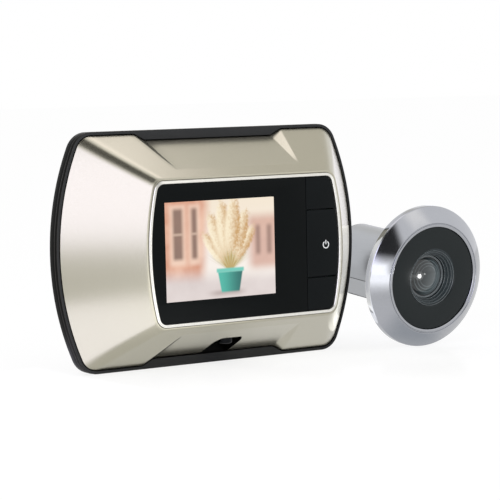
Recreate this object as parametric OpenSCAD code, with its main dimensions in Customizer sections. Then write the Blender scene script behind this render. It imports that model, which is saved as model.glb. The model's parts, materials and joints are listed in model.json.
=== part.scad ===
// Peephole door camera: an indoor monitor on its steel door bracket,
// with the outdoor camera unit standing beside it.
// The origin is the centre of the bracket's hole on the inner face of the door.
// +X is to the right seen from the room, +Y goes into the door and +Z is up.

/* [Monitor outline] */
// Overall width of the black frame
frame_w = 136; // [128:1:150]
// Overall height of the black frame
frame_h = 90; // [86:1:100]
// Radius of the bowed left and right edges
bow_r = 100; // [90:5:150]
// Corner radius of the black frame
frame_corner_r = 8.5; // [6:0.5:11]
// Width of black frame that shows around the shell
frame_lip = 1.5; // [1:0.1:2.5]

/* [Monitor depth] */
// Gap between the rear case and the door
case_standoff = 0.5; // [0.3:0.1:1]
// Depth of the tapered back of the rear case
case_taper_d = 3.3; // [2.5:0.1:6]
// How far the tapered back runs in
case_taper_in = 5; // [4:0.5:6]
// Depth of the straight side of the rear case
case_side_d = 3.4; // [2:0.2:5]
// Depth of the black front frame
frame_d = 2; // [1.6:0.2:3]
// Height of the shell from the black frame to the window
shell_rise = 24.8; // [22:0.4:32]
// Wall of the rear case
case_wall = 2.4; // [2.2:0.1:3]
// Wall of the shell, measured level
shell_wall = 2.6; // [2:0.2:3]

/* [Window and screen] */
// Width of the black window
window_w = 85; // [80:1:92]
// Height of the black window
window_h = 51.5; // [49:0.5:54]
// Corner radius of the window
window_corner_r = 3; // [2:0.5:5]
// Width of the bright rim around the window
rim_w = 1.2; // [0.8:0.1:1.8]
// How far the rim stands in front of the window
rim_proud = 0.5; // [0.2:0.1:0.8]
// Shell land around the rim
rim_land = 0.6; // [0.4:0.1:1.2]
// Thickness of the window panel
panel_t = 1.6; // [1.4:0.1:2]
// Thickness of the shell floor behind the window
floor_t = 1.5; // [1.2:0.1:2]
// Width of the lit screen
screen_w = 48.96; // [46:0.02:52]
// Height of the lit screen
screen_h = 36.72; // [34:0.02:39]
// Screen centre, left of the window centre
screen_x = -12.05; // [-13:0.05:-10]
// Screen centre, above the window centre
screen_z = 0.6; // [-1:0.1:2]

/* [Keys] */
// Left edge of the key column
key_x = 27.2; // [25:0.1:29]
// Height of the middle key
key_mid_h = 26; // [22:1:30]
// Gap around the keys
key_gap = 0.3; // [0.2:0.05:0.4]
// Key travel
key_travel = 0.4; // [0.2:0.1:0.4]
// Thickness of a key cap
key_t = 1.1; // [0.8:0.1:1.1]
// Radius of a key's guide stem
stem_r = 2; // [1.5:0.1:2.5]
// Running clearance of a stem in its guide hole
stem_clear = 0.05; // [0.03:0.01:0.1]

/* [Scoops and lock notch] */
// Width of the top scoop at the frame
scoop_top_w = 68.5; // [60:0.5:80]
// Width of the bottom scoop at the frame
scoop_bottom_w = 66; // [56:1:76]
// Depth of the scoops at the frame
scoop_d = 2.4; // [1.5:0.1:3]
// Slope of a scoop's end walls, measured level
scoop_draft = 5.8; // [2:0.2:6]
// How far a scoop's tips draw in from its outer corners
scoop_tip_in = 6.5; // [5:0.5:9]
// Distance from the window to a scoop's tips
scoop_tip_d = 4.5; // [4:0.5:8]
// Width of the notch for the lock screw
notch_w = 12.8; // [10:0.2:15]
// Distance from the window to the front of the notch
notch_front_d = 10.4; // [9:0.2:12]
// Height of the notch roof above the bottom of the frame
notch_roof_h = 10.5; // [9:0.5:12]
// Radius of the lock screw's shank
lock_r = 1.5; // [1.2:0.1:2]
// Radius of the lock screw's head
lock_head_r = 2.75; // [2.5:0.05:3.5]
// Height of the lock screw's head
lock_head_h = 2.6; // [2:0.1:3.5]

/* [Door bracket] */
// Bracket width
bracket_w = 40; // [36:1:42]
// Bracket height above the hole centre
bracket_up = 30; // [28:1:31]
// Bracket depth below the hole centre
bracket_down = 25; // [22:1:26]
// Thickness of the steel plate
bracket_t = 1.5; // [1.2:0.1:2]
// Corner radius of the plate
bracket_corner_r = 4; // [2:0.5:6]
// Clearance around the bracket in the rear case
bracket_clear = 0.3; // [0.2:0.05:0.5]
// Distance between the centres of the two hooks
hook_spacing = 26; // [22:1:30]
// Width of a hook
hook_w = 6; // [4:0.5:8]
// Height of a hook's lip
hook_lip = 4; // [3:0.5:4.5]
// Height of the hook arms above the hole centre
hook_z = 20; // [19:0.5:22]
// Lift that frees the monitor from the hooks
lift = 5; // [4:0.5:5]
// Width of the lock tab
tab_w = 14; // [12:0.5:16]
// Recess radius for the barrel nut behind the bracket
nut_recess_r = 15; // [14:0.5:16]
// Recess depth for the barrel nut
nut_recess_d = 11.5; // [10:0.5:13]
// Width of the ribbon slot in that recess
ribbon_w = 17; // [14:0.5:19]
// Height of the ribbon slot
ribbon_h = 6; // [5:0.5:7]

/* [Batteries and boards] */
// Cell radius
cell_r = 5.25; // [5:0.05:5.4]
// Cell length
cell_l = 44.5; // [43:0.5:45]
// Centre of a battery bay, left or right of the middle
bay_x = 34; // [33.5:0.25:36]
// Room for a contact at each cell end
contact_room = 2.5; // [2:0.1:3]
// Thickness of a battery door
door_t = 1.4; // [1:0.1:1.5]
// Rebate of a battery door around its bay
door_lap = 1.4; // [1:0.1:2]
// Gap around a battery door
door_gap = 0.25; // [0.15:0.05:0.4]
// Margin of the main board beyond its screw heads
board_margin = 0.4; // [0.2:0.1:0.8]
// Height of the main board
board_h = 46; // [45:1:49]
// Thickness of the main board
board_t = 1.6; // [1:0.1:1.6]
// Distance from the shell floor to the main board
board_gap = 3.4; // [3:0.1:4.5]
// Radius of the small screws
screw_r = 1.25; // [1:0.05:1.5]
// Radius of the small screws' heads
screw_head_r = 2.5; // [2.2:0.1:2.6]

/* [Camera flange] */
// Distance from the monitor's middle to the camera axis
cam_x = 88; // [87:0.5:110]
// Distance from the window's face back to the flange's front edge
cam_back = 3; // [0:0.5:10]
// Lean of the camera unit as it stands, front edge down
cam_lean = 6; // [0:0.5:10]
// Flange radius
flange_r = 28.4; // [27:0.1:30]
// Thickness of the flange rim
rim_t = 3; // [2:0.25:4]
// Height of the bevel in front of the rim
bevel_h = 4.9; // [4.6:0.1:6]
// Width of the bright lip at the top of the bevel
lip_w = 1.6; // [1.2:0.1:2]
// Radius of the dark disc
disc_r = 20.5; // [19.5:0.1:21.5]
// Thickness of the dark disc
disc_t = 1.8; // [1.4:0.1:2]
// How far the disc lies below the lip
disc_sink = 0.5; // [0.3:0.1:0.8]
// Radius of the recess in the disc
recess_r = 11.2; // [10.5:0.1:12]
// Thickness of the foam gasket
gasket_t = 1.5; // [1:0.25:3]

/* [Camera barrel] */
// Barrel radius
tube_r = 14.8; // [14.2:0.1:15.4]
// Barrel length behind the gasket
tube_l = 40; // [34:1:60]
// Radius of the barrel's neck inside the flange and gasket
neck_r = 14; // [13.6:0.1:14.1]
// Inner radius around the camera
tube_bore_r = 11.8; // [11.4:0.1:12]
// Distance of the barrel's flat from its axis
flat_d = 13.2; // [13:0.1:14]
// Distance of the flat from the gasket
flat_start = 4.5; // [3:0.5:10]
// Direction of the flat, seen from the room, from straight right towards straight down
flat_turn = 135; // [90:5:180]
// Radius of the threaded spigot
spigot_r = 9.5; // [9:0.1:10]
// Spigot length
spigot_l = 26; // [22:1:40]
// Radius of the ribbon's way through the spigot
way_r = 7.5; // [6:0.1:8]
// Running clearance of the nut on the spigot
nut_clear = 0.06; // [0.03:0.01:0.1]
// Corner radius of the hexagon nut
nut_r = 12.7; // [12.2:0.1:12.7]
// Nut thickness
nut_t = 6; // [4:0.5:8]
// Washer radius
washer_r = 12.5; // [12:0.1:12.7]
// Washer thickness
washer_t = 1.2; // [1:0.1:2]

/* [Lens] */
// Radius of the lens barrel
lens_r = 8.8; // [8.4:0.1:9]
// Radius of the front lens
glass_r = 6.9; // [6:0.1:7.2]
// Height of the front lens's dome
dome_h = 1.8; // [1.2:0.1:2.4]
// Length of the lens barrel
lens_l = 13.6; // [12:0.2:16]

/* [Hidden] */
$fn = 72;
eps = 0.01;
over = 1;
side_steps = 20;
corner_steps = 8;
seat_gap = 0.1;

// Depths along Y, from the door towards the room
y_back = -case_standoff;
y_taper = y_back - case_taper_d;
y_case = y_taper - case_side_d;
y_edge = y_case - frame_d;
y_window = y_edge - shell_rise;
y_floor = y_window + panel_t;
y_floor_back = y_floor + floor_t;
y_board = y_floor_back + board_gap;
y_board_back = y_board + board_t;
y_case_inner = y_back - case_wall;
y_pocket = -bracket_t - bracket_clear;
pocket_wall = 1.5;
y_pocket_front = y_pocket - pocket_wall;
y_recess = y_back - nut_recess_d;

// Outlines of the shell and the window opening
shell_w = frame_w - 2 * frame_lip;
shell_h = frame_h - 2 * frame_lip;
shell_bow = bow_r - frame_lip;
shell_corner_r = frame_corner_r - frame_lip;
fit_gap = 0.15;
rim_out_w = window_w + 2 * rim_w;
rim_out_h = window_h + 2 * rim_w;
rim_corner_r = window_corner_r + rim_w;
front_w = rim_out_w + 2 * (fit_gap + rim_land);
front_h = rim_out_h + 2 * (fit_gap + rim_land);
front_corner_r = rim_corner_r + fit_gap + rim_land;
case_cavity_in = case_taper_in + 2;

// Display behind the window: its edge around the lit screen, and its tray
lcd_edge = 1.8;
lcd_t = 2.5;
lcd_w = screen_w + 2 * lcd_edge;
lcd_h = screen_h + 2 * lcd_edge;
y_lcd_back = y_floor + lcd_t;
tray_wall = 0.6;
tray_floor = 0.8;

// Keys
key_z = (key_mid_h + window_h) / 4;
key_cx = (key_x + window_w / 2) / 2;
y_key_back = y_window + key_t;
stem_out = 0.5;
y_stem_end = y_floor_back + stem_out;
y_mat = y_stem_end + key_travel + seat_gap / 2;
mat_t = 0.75;
mat_margin = 3;
switch_w = 6;
plunger_r = 1.6;
plunger_h = 0.5;

// Scoops, notch and lock screw
y_tip = y_window + scoop_tip_d;
notch_r = notch_w / 2;
notch_y = y_window + notch_front_d + notch_r;
z_roof = -frame_h / 2 + notch_roof_h;
roof_t = 2;
lock_clear = 0.08;
tab_hole_r = lock_r + bracket_clear;
z_tab = -bracket_down;
lock_out = 2;
lock_top = z_tab + bracket_t + lock_out;
lock_cross_w = 0.8;
lock_cross_d = 1.2;

// Battery bays
cell_gap = 0.3;
bay_w = 4 * cell_r + 3 * cell_gap;
bay_h = cell_l + 2 * contact_room;
bay_wall = 1.4;
y_cell = y_case_inner - cell_r - cell_gap;
y_bay = y_cell - cell_r - cell_gap;
door_w = bay_w + 2 * door_lap - 2 * door_gap;
door_h = bay_h + 2 * door_lap - 2 * door_gap;

// Screw places
case_screw_in = 15;
case_screw_x = frame_w / 2 - case_screw_in;
case_screw_z = frame_h / 2 - case_screw_in;
post_wall = 1.5;
post_r = screw_r + post_wall;
screw_head_t = 1.6;
case_screw_l = 11;
board_screw_l = 4.6;
board_corner_r = 3;
left_post_x = screen_x - lcd_w / 2 - post_r - seat_gap;
left_post_z = board_h / 3;
right_post_x = (screen_x + lcd_w / 2 + key_x) / 2;
right_post_z = board_h / 2 - screw_head_r - board_margin;
board_w = 2 * (screw_head_r + board_margin - left_post_x);
board_posts = [
  [left_post_x, left_post_z],
  [left_post_x, -left_post_z],
  [right_post_x, right_post_z],
  [right_post_x, -right_post_z]
];

// Camera unit: z is measured along its axis from the flange's front edge to the door
cam_z = flange_r * cos(cam_lean) - frame_h / 2;
cam_y = y_window + cam_back;
z_lip = -bevel_h;
z_disc = z_lip + disc_sink;
z_seat = z_disc + disc_t;
z_web = 0.5;
z_gasket = rim_t + gasket_t;
gasket_in = 1.2;
neck_out = 0.5;
z_barrel = z_gasket + neck_out;
z_shoulder = z_gasket + tube_l;
z_end = z_shoulder + spigot_l;
shoulder_t = 4;
chamber_end = z_shoulder - shoulder_t;
thread_out = 1.3;
z_washer = z_end - thread_out - nut_t - washer_t - seat_gap / 2;
z_nut = z_washer + washer_t + seat_gap / 2;

// Disc and lens of the camera
lens_gap = 0.05;
seat_land = 4;
dish_chamfer = 0.5;
dish_wall = 1.4;
z_lens = 0.2;
z_dish = z_lens - 2 * dish_chamfer;
ring_h = 0.7;
ring_bevel = 0.4;
dome_out = 1.4;
glass_edge = 1.6;
z_glass = z_lens - dome_out;
z_glass_seat = z_glass + dome_h + glass_edge;
rear_lens_in = 1.5;
rear_lens_t = 3;
z_rear_lens = z_lens + 5;
z_rear_stop = z_rear_lens + rear_lens_t;
stop_step = 0.3;
mount_start = 4;
z_lens_back = z_lens + lens_l;
cam_board_t = 1.6;
sensor_t = 1.2;
sensor_w = 7;
sensor_h = 6;

// Points on an arc about [cx, cz], n steps from angle a0 to a1
function arc(cx, cz, r, a0, a1, n) =
  [for (i = [0:n]) let (a = a0 + (a1 - a0) * i / n) [cx + r * cos(a), cz + r * sin(a)]];

// Every point but the first
function rest_of(p) = [for (i = [1:len(p) - 1]) p[i]];

// The right half of an outline followed by its mirror image
function both_sides(half) =
  concat(half, [for (i = [len(half) - 1:-1:0]) [-half[i].x, half[i].y]]);

// Outline with level top and bottom, bowed sides and round corners
function bowed(w, h, bow, r) =
  let (
    k = w / 2 - bow,
    zc = h / 2 - r,
    xc = k + sqrt((bow - r) ^ 2 - zc ^ 2),
    a = asin(zc / (bow - r))
  )
  both_sides(concat(
    arc(xc, -zc, r, -90, -a, corner_steps),
    rest_of(arc(k, 0, bow, -a, a, side_steps)),
    rest_of(arc(xc, zc, r, a, 90, corner_steps))
  ));

// Rectangle with round corners
function rounded(w, h, r) =
  both_sides(concat(
    arc(w / 2 - r, r - h / 2, r, -90, 0, corner_steps),
    arc(w / 2 - r, h / 2 - r, r, 0, 90, corner_steps)
  ));

// Outlines of the monitor, drawn in by a distance
function frame_line(in = 0) =
  bowed(frame_w - 2 * in, frame_h - 2 * in, bow_r - in, max(frame_corner_r - in, 1));
function shell_line(in = 0) =
  bowed(shell_w - 2 * in, shell_h - 2 * in, shell_bow - in, max(shell_corner_r - in, 1));
function rim_line(out = 0) =
  bowed(rim_out_w + 2 * out, rim_out_h + 2 * out, bow_r, rim_corner_r + out);
function window_line(in = 0) =
  bowed(window_w - 2 * in, window_h - 2 * in, bow_r, window_corner_r - in);

// Shell outline at a depth between its front (0) and its edge (1), drawn in by a distance
function shell_at(t, in) =
  let (
    w = front_w + (shell_w - front_w) * t,
    h = front_h + (shell_h - front_h) * t,
    r = front_corner_r + (shell_corner_r - front_corner_r) * t
  )
  bowed(w - 2 * in, h - 2 * in, bow_r - in, max(r - in, 1));

// Half height of the shell's sloping top or bottom face at depth y
function face_z(y) =
  front_h / 2 + (shell_h - front_h) / 2 * (y - y_window) / shell_rise;

// Extrude a flat outline from depth y0 to depth y1
module along_y(y0, y1) {
  translate([0, y1, 0]) rotate([90, 0, 0]) linear_extrude(y1 - y0) children();
}

// A round bar along Y
module bar(x, z, r, y0, y1) {
  translate([x, y0, z]) rotate([-90, 0, 0]) cylinder(r = r, h = y1 - y0);
}

// A box given by its middle in X and Z, its width and height and two depths
module slab(x, z, w, h, y0, y1) {
  translate([x - w / 2, y0, z - h / 2]) cube([w, y1 - y0, h]);
}

// Solid between outline a at depth ya and outline b at depth yb
module loft(a, b, ya, yb) {
  n = len(a);
  points = concat([for (p = a) [p.x, ya, p.y]], [for (p = b) [p.x, yb, p.y]]);
  sides = [
    for (i = [0:n - 1])
    let (j = (i + 1) % n)
    each [[i, j, n + j], [i, n + j, n + i]]
  ];
  front = [for (i = [n - 1:-1:0]) i];
  back = [for (i = [0:n - 1]) n + i];
  polyhedron(points, concat([front, back], sides));
}

// Convex solid around a list of points
module point_hull(points) {
  hull() polyhedron(points, [for (i = [0:len(points) - 3]) [i, i + 1, i + 2]]);
}

// Cross-section of a scoop at the frame: up is 1 for the top and -1 for the bottom
module scoop_section(w, up, grow = 0) {
  top = shell_h / 2;
  low = top - scoop_d - grow;
  half = w / 2 + grow;
  polygon([
    [half + over, up * (top + over)],
    [half, up * top],
    [half - scoop_draft, up * low],
    [scoop_draft - half, up * low],
    [-half, up * top],
    [-half - over, up * (top + over)]
  ]);
}

// Cut of a scoop, deepest at the frame and running out near the window
module scoop(w, up, grow = 0) {
  half = w / 2 + grow;
  tip = half - scoop_tip_in;
  tip_z = face_z(y_tip) - grow;
  low = shell_h / 2 - scoop_d - grow;
  point_hull([
    for (s = [-1, 1])
    each [
      [s * tip, y_tip, up * tip_z],
      [s * tip, y_tip, up * (face_z(y_tip) + 2 * over)],
      [s * (half - scoop_draft), y_edge, up * low],
      [s * (half + over), y_edge, up * (shell_h / 2 + 2 * over)]
    ]
  ]);
  along_y(y_edge - eps, y_case + over) scoop_section(w, up, grow);
}

module scoops(grow = 0) {
  scoop(scoop_top_w, 1, grow);
  scoop(scoop_bottom_w, -1, grow);
}

// Upright notch for the lock screw, open at the bottom
module notch(grow = 0) {
  depth = z_roof + grow + frame_h / 2 + over;
  translate([0, notch_y, -frame_h / 2 - over]) cylinder(r = notch_r + grow, h = depth);
  translate([-notch_r - grow, notch_y, -frame_h / 2 - over])
    cube([2 * (notch_r + grow), y_case + over - notch_y, depth]);
}

// Solid body of the shell before it is hollowed
module shell_body() {
  loft(shell_at(0, 0), shell_line(), y_window, y_edge);
  along_y(y_edge, y_case) polygon(shell_line());
}

module shell_cavity() {
  t = (y_floor_back - y_window) / shell_rise;
  difference() {
    union() {
      loft(shell_at(t, shell_wall), shell_line(shell_wall), y_floor_back, y_edge);
      along_y(y_edge - eps, y_case + over) polygon(shell_line(shell_wall));
    }
    scoops(shell_wall);
    notch(roof_t);
    case_posts();
  }
}

// Posts that the case screws bite into
module case_posts() {
  for (x = [-1, 1], z = [-1, 1])
    bar(x * case_screw_x, z * case_screw_z, post_r, y_window, y_case);
}

module front_shell() {
  color("#c9c2ab")
  difference() {
    union() {
      difference() {
        shell_body();
        shell_cavity();
      }
      for (p = board_posts) bar(p.x, p.y, post_r, y_floor, y_board);
    }
    scoops();
    notch();
    along_y(y_window - over, y_floor) polygon(rim_line(fit_gap));
    slab(screen_x, screen_z, lcd_w + 2 * seat_gap, lcd_h + 2 * seat_gap,
         y_floor - over, y_floor_back + over);
    for (z = [-key_z, 0, key_z])
      bar(key_cx, z, stem_r + stem_clear, y_floor - over, y_floor_back + over);
    for (p = board_posts)
      bar(p.x, p.y, screw_r + fit_gap, y_board_back - board_screw_l - over, y_board + over);
    for (x = [-1, 1], z = [-1, 1])
      bar(x * case_screw_x, z * case_screw_z, screw_r + fit_gap,
          y_case_inner - case_screw_l - over, y_case + over);
    translate([0, notch_y, z_roof - over])
      cylinder(r = lock_r + lock_clear, h = roof_t + 2 * over);
  }
}

module window_rim() {
  color("#e9e6df")
  along_y(y_window - rim_proud, y_floor)
  difference() {
    polygon(rim_line());
    polygon(window_line());
  }
}

module window_panel() {
  color("#1c2023")
  along_y(y_window, y_floor)
  difference() {
    polygon(window_line(fit_gap));
    translate([key_x, -window_h]) square([window_w, 2 * window_h]);
    translate([screen_x, screen_z]) square([screen_w, screen_h], center = true);
  }
}

module screen_glass() {
  color("#b7a58f")
  slab(screen_x, screen_z, screen_w - 2 * seat_gap, screen_h - 2 * seat_gap,
       y_window + seat_gap, y_floor);
}

module lcd_module() {
  color("#8b9096")
  slab(screen_x, screen_z, lcd_w, lcd_h, y_floor, y_lcd_back);
}

// Sheet-metal tray that carries the display
module lcd_frame() {
  color("#b4b7bb")
  difference() {
    slab(screen_x, screen_z, lcd_w, lcd_h, y_lcd_back, y_board);
    slab(screen_x, screen_z, lcd_w - 2 * tray_wall, lcd_h - 2 * tray_wall,
         y_lcd_back + tray_floor, y_board + over);
  }
}

// Key cap between two heights, with the guide stem at height z
module key_cap(z, z0, z1) {
  left = key_x + key_gap;
  along_y(y_window, y_key_back)
  intersection() {
    polygon(window_line(key_gap));
    translate([left, z0]) square([window_w, z1 - z0]);
  }
  bar(key_cx, z, stem_r, y_key_back - eps, y_stem_end);
}

module upper_key() {
  color("#1b1f20") key_cap(key_z, (key_mid_h + key_gap) / 2, window_h);
}

module power_key() {
  color("#1b1f20") key_cap(0, (key_gap - key_mid_h) / 2, (key_mid_h - key_gap) / 2);
}

module lower_key() {
  color("#1b1f20") key_cap(-key_z, -window_h, -(key_mid_h + key_gap) / 2);
}

// Silicone mat between the stems and the switches
module key_mat() {
  color("#5c6064")
  slab(key_cx, 0, 2 * (stem_r + mat_margin), 2 * (key_z + stem_r + mat_margin), y_mat, y_mat + mat_t);
}

module tact_switches() {
  color("#c9ccd0")
  for (z = [-key_z, 0, key_z]) {
    slab(key_cx, z, switch_w, switch_w, y_mat + mat_t + plunger_h, y_board);
    bar(key_cx, z, plunger_r, y_mat + mat_t, y_mat + mat_t + plunger_h + eps);
  }
}

module main_board() {
  color("#2f6b45")
  difference() {
    along_y(y_board, y_board_back) polygon(rounded(board_w, board_h, board_corner_r));
    for (p = board_posts) bar(p.x, p.y, screw_r + fit_gap, y_board - over, y_board_back + over);
  }
}

// Processor, memory, power coil and two capacitors on the back of the board
module board_chips() {
  processor_w = 14;
  memory_w = 9;
  memory_h = 6;
  chip_t = 1.2;
  coil_w = 7;
  coil_t = 2.2;
  cap_r = 2;
  cap_t = 3;
  row_z = 9;
  side_x = board_w / 3;
  color("#26282b") {
    slab(screen_x, row_z, processor_w, processor_w, y_board_back, y_board_back + chip_t);
    slab(-screen_x, row_z, memory_w, memory_h, y_board_back, y_board_back + chip_t);
    slab(-side_x, -row_z, coil_w, coil_w, y_board_back, y_board_back + coil_t);
    for (x = [-side_x, side_x]) bar(x, row_z, cap_r, y_board_back, y_board_back + cap_t);
  }
}

// Socket for the camera's ribbon, facing the slot in the rear case
module ribbon_socket() {
  margin = 0.5;
  wall = 1.5;
  slit = 0.8;
  height = 3;
  color("#e4e1d8")
  difference() {
    slab(0, -ribbon_h / 2, ribbon_w - 2 * margin, ribbon_h - 2 * margin,
         y_board_back, y_board_back + height);
    slab(0, -ribbon_h / 2, ribbon_w - 2 * (margin + wall), slit,
         y_board_back + wall, y_board_back + height + over);
  }
}

module board_screws() {
  color("#9a9ca0")
  for (p = board_posts) {
    bar(p.x, p.y, screw_head_r, y_board_back, y_board_back + screw_head_t);
    bar(p.x, p.y, screw_r, y_board_back - board_screw_l, y_board_back + eps);
  }
}

// Black ring around the shell, filling the ends of the two scoops
module front_frame() {
  bevel = 0.6;
  color("#2e2f31")
  difference() {
    union() {
      loft(frame_line(bevel), frame_line(), y_edge, y_edge + bevel);
      along_y(y_edge + bevel - eps, y_case) polygon(frame_line());
    }
    along_y(y_edge - over, y_case + over)
    difference() {
      polygon(shell_line(-fit_gap));
      scoop_section(scoop_top_w - 2 * fit_gap, 1, -fit_gap);
      scoop_section(scoop_bottom_w - 2 * fit_gap, -1, -fit_gap);
    }
  }
}

// Box of one battery bay, side is -1 or 1
module bay_box(side, grow, y0, y1) {
  slab(side * bay_x, 0, bay_w + 2 * grow, bay_h + 2 * grow, y0, y1);
}

module rear_case() {
  pocket_h = bracket_up + bracket_down + lift + 2 * bracket_clear;
  pocket_z = (bracket_up - bracket_down - lift) / 2;
  pocket_w = bracket_w + 2 * bracket_clear;
  slot_h = lift + bracket_t + over;
  hook_slot_z = hook_z + seat_gap - slot_h / 2;
  tab_slot_h = slot_h + over;
  tab_slot_z = z_tab + bracket_t + bracket_clear - tab_slot_h / 2;
  color("#232426")
  difference() {
    union() {
      difference() {
        union() {
          along_y(y_case, y_taper + eps) polygon(frame_line());
          loft(frame_line(), frame_line(case_taper_in), y_taper, y_back);
        }
        along_y(y_case - over, y_case_inner) polygon(frame_line(case_cavity_in));
      }
      slab(0, pocket_z, pocket_w + 2 * pocket_wall, pocket_h + 2 * pocket_wall,
           y_pocket_front, y_case_inner + eps);
      bar(0, 0, nut_recess_r + pocket_wall, y_recess - pocket_wall, y_case_inner + eps);
      for (s = [-1, 1]) bay_box(s, bay_wall, y_bay - bay_wall, y_case_inner + eps);
      for (x = [-1, 1], z = [-1, 1])
        bar(x * case_screw_x, z * case_screw_z, post_r, y_case, y_case_inner + eps);
    }
    slab(0, pocket_z, pocket_w, pocket_h, y_pocket, y_back + over);
    bar(0, 0, nut_recess_r, y_recess, y_back + over);
    slab(0, -ribbon_h / 2, ribbon_w, ribbon_h, y_recess - pocket_wall - over, y_recess + over);
    for (x = [-1, 1])
      slab(x * hook_spacing / 2, hook_slot_z, hook_w + 2 * bracket_clear, slot_h,
           y_pocket_front - over, y_pocket + over);
    slab(0, tab_slot_z, tab_w + 2 * bracket_clear, tab_slot_h, y_pocket_front - over, y_pocket + over);
    for (s = [-1, 1]) {
      bay_box(s, 0, y_bay, y_back + over);
      bay_box(s, door_lap, y_back - door_t - seat_gap, y_back + over);
    }
    for (x = [-1, 1], z = [-1, 1]) {
      bar(x * case_screw_x, z * case_screw_z, screw_r + fit_gap, y_case - over, y_back);
      bar(x * case_screw_x, z * case_screw_z, screw_head_r + fit_gap,
          y_case_inner, y_back + over);
    }
  }
}

// Snap-in door with a finger groove near its lower end
module battery_door(side) {
  groove_r = 2;
  groove_d = 0.8;
  groove_up = 6;
  color("#26272a")
  difference() {
    slab(side * bay_x, 0, door_w, door_h, y_back - door_t, y_back);
    translate([side * bay_x, y_back + groove_r - groove_d, groove_up - door_h / 2])
      rotate([0, 90, 0]) cylinder(r = groove_r, h = door_w / 2, center = true);
  }
}

module left_battery_door() {
  battery_door(-1);
}

module right_battery_door() {
  battery_door(1);
}

module battery_cells() {
  nub_h = 1;
  nub_r = 1.9;
  color("#c8a24a")
  for (s = [-1, 1], k = [-1, 1])
    translate([s * bay_x + k * (cell_r + cell_gap / 2), y_cell, 0])
    rotate([k * 90 - 90, 0, 0]) {
      translate([0, 0, -cell_l / 2]) cylinder(r = cell_r, h = cell_l - nub_h);
      translate([0, 0, cell_l / 2 - nub_h - eps]) cylinder(r = nub_r, h = nub_h + eps);
    }
}

// Bent contact leaves that press on the cell ends
module battery_contacts() {
  leaf_t = 0.4;
  margin = 1;
  leaf_w = 2 * (cell_r - margin);
  bend = contact_room - seat_gap;
  color("#c9b37a")
  for (s = [-1, 1], k = [-1, 1], e = [-1, 1])
    translate([s * bay_x + k * (cell_r + cell_gap / 2) - leaf_w / 2, y_cell, e * bay_h / 2])
    rotate([90, 0, 90])
    linear_extrude(leaf_w)
    polygon([
      [margin - cell_r, 0],
      [cell_r - margin, 0],
      [cell_r - margin, -e * leaf_t],
      [margin, -e * bend],
      [-margin, -e * bend],
      [-margin - leaf_t, -e * (bend - leaf_t)],
      [margin - leaf_t, -e * (bend - leaf_t)],
      [cell_r - 3 * margin, -e * leaf_t],
      [margin - cell_r, -e * leaf_t]
    ]);
}

module case_screws() {
  color("#6d6f73")
  for (x = [-1, 1], z = [-1, 1]) {
    bar(x * case_screw_x, z * case_screw_z, screw_head_r, y_case_inner, y_case_inner + screw_head_t);
    bar(x * case_screw_x, z * case_screw_z, screw_r, y_case_inner - case_screw_l, y_case_inner + eps);
  }
}

// Screw that locks the monitor to the bracket's tab
module lock_screw() {
  color("#55575b")
  difference() {
    union() {
      translate([0, notch_y, z_roof - seat_gap - lock_head_h])
        cylinder(r = lock_head_r, h = lock_head_h);
      translate([0, notch_y, z_roof - seat_gap - eps])
        cylinder(r = lock_r, h = lock_top - z_roof + seat_gap);
    }
    for (a = [0, 90])
      translate([0, notch_y, z_roof - seat_gap - lock_head_h]) rotate([0, 0, a])
        cube([2 * (lock_head_r - lock_cross_w), lock_cross_w, 2 * lock_cross_d], center = true);
  }
}

// Steel plate on the door with two hooks above and the lock tab below
module bracket() {
  plate_h = bracket_up + bracket_down;
  y_lip = y_pocket_front - bracket_clear;
  y_tab_end = notch_y - tab_w / 2;
  color("#b9bcc0")
  difference() {
    union() {
      translate([0, 0, (bracket_up - bracket_down) / 2])
        along_y(-bracket_t, 0) polygon(rounded(bracket_w, plate_h, bracket_corner_r));
      for (x = [-1, 1]) {
        slab(x * hook_spacing / 2, hook_z - bracket_t / 2, hook_w, bracket_t, y_lip - bracket_t, -eps);
        slab(x * hook_spacing / 2, hook_z - bracket_t / 2 + hook_lip / 2, hook_w, bracket_t + hook_lip,
             y_lip - bracket_t, y_lip);
      }
      slab(0, z_tab + bracket_t / 2, tab_w, bracket_t, y_tab_end, -eps);
    }
    bar(0, 0, spigot_r + bracket_clear, -bracket_t - over, over);
    translate([0, notch_y, z_tab - over]) cylinder(r = tab_hole_r, h = bracket_t + 2 * over);
  }
}

// Places a piece on the camera's axis, with z running to the door
module on_barrel() {
  translate([cam_x, cam_y, cam_z]) rotate([cam_lean - 90, 0, 0]) children();
}

// Ring or disc turned about the camera's axis from [radius, z] points
module turned(points) {
  on_barrel() rotate_extrude() polygon(points);
}

module flange() {
  color("#cfd2d6")
  turned([
    [neck_r + lens_gap, z_web],
    [neck_r + lens_gap, rim_t],
    [flange_r, rim_t],
    [flange_r, 0],
    [disc_r + fit_gap + lip_w, z_lip],
    [disc_r + fit_gap, z_lip],
    [disc_r + fit_gap, z_seat],
    [recess_r + seat_land, z_seat],
    [recess_r + seat_land, z_web]
  ]);
}

module gasket() {
  color("#303134")
  turned([
    [tube_r + fit_gap, rim_t],
    [tube_r + fit_gap, z_gasket],
    [flange_r - gasket_in, z_gasket],
    [flange_r - gasket_in, rim_t]
  ]);
}

// Barrel with its flat, the shoulder and the spigot for the nut
module barrel_tube() {
  color("#b5b7ba")
  difference() {
    turned([
      [tube_bore_r, z_web],
      [neck_r, z_web],
      [neck_r, z_barrel],
      [tube_r, z_barrel],
      [tube_r, z_shoulder],
      [spigot_r, z_shoulder],
      [spigot_r, z_end],
      [way_r, z_end],
      [way_r, chamber_end],
      [tube_bore_r, chamber_end]
    ]);
    on_barrel() rotate([0, 0, flat_turn])
      translate([flat_d, -tube_r, z_gasket + flat_start])
      cube([tube_r, 2 * tube_r, tube_l]);
  }
}

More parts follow.
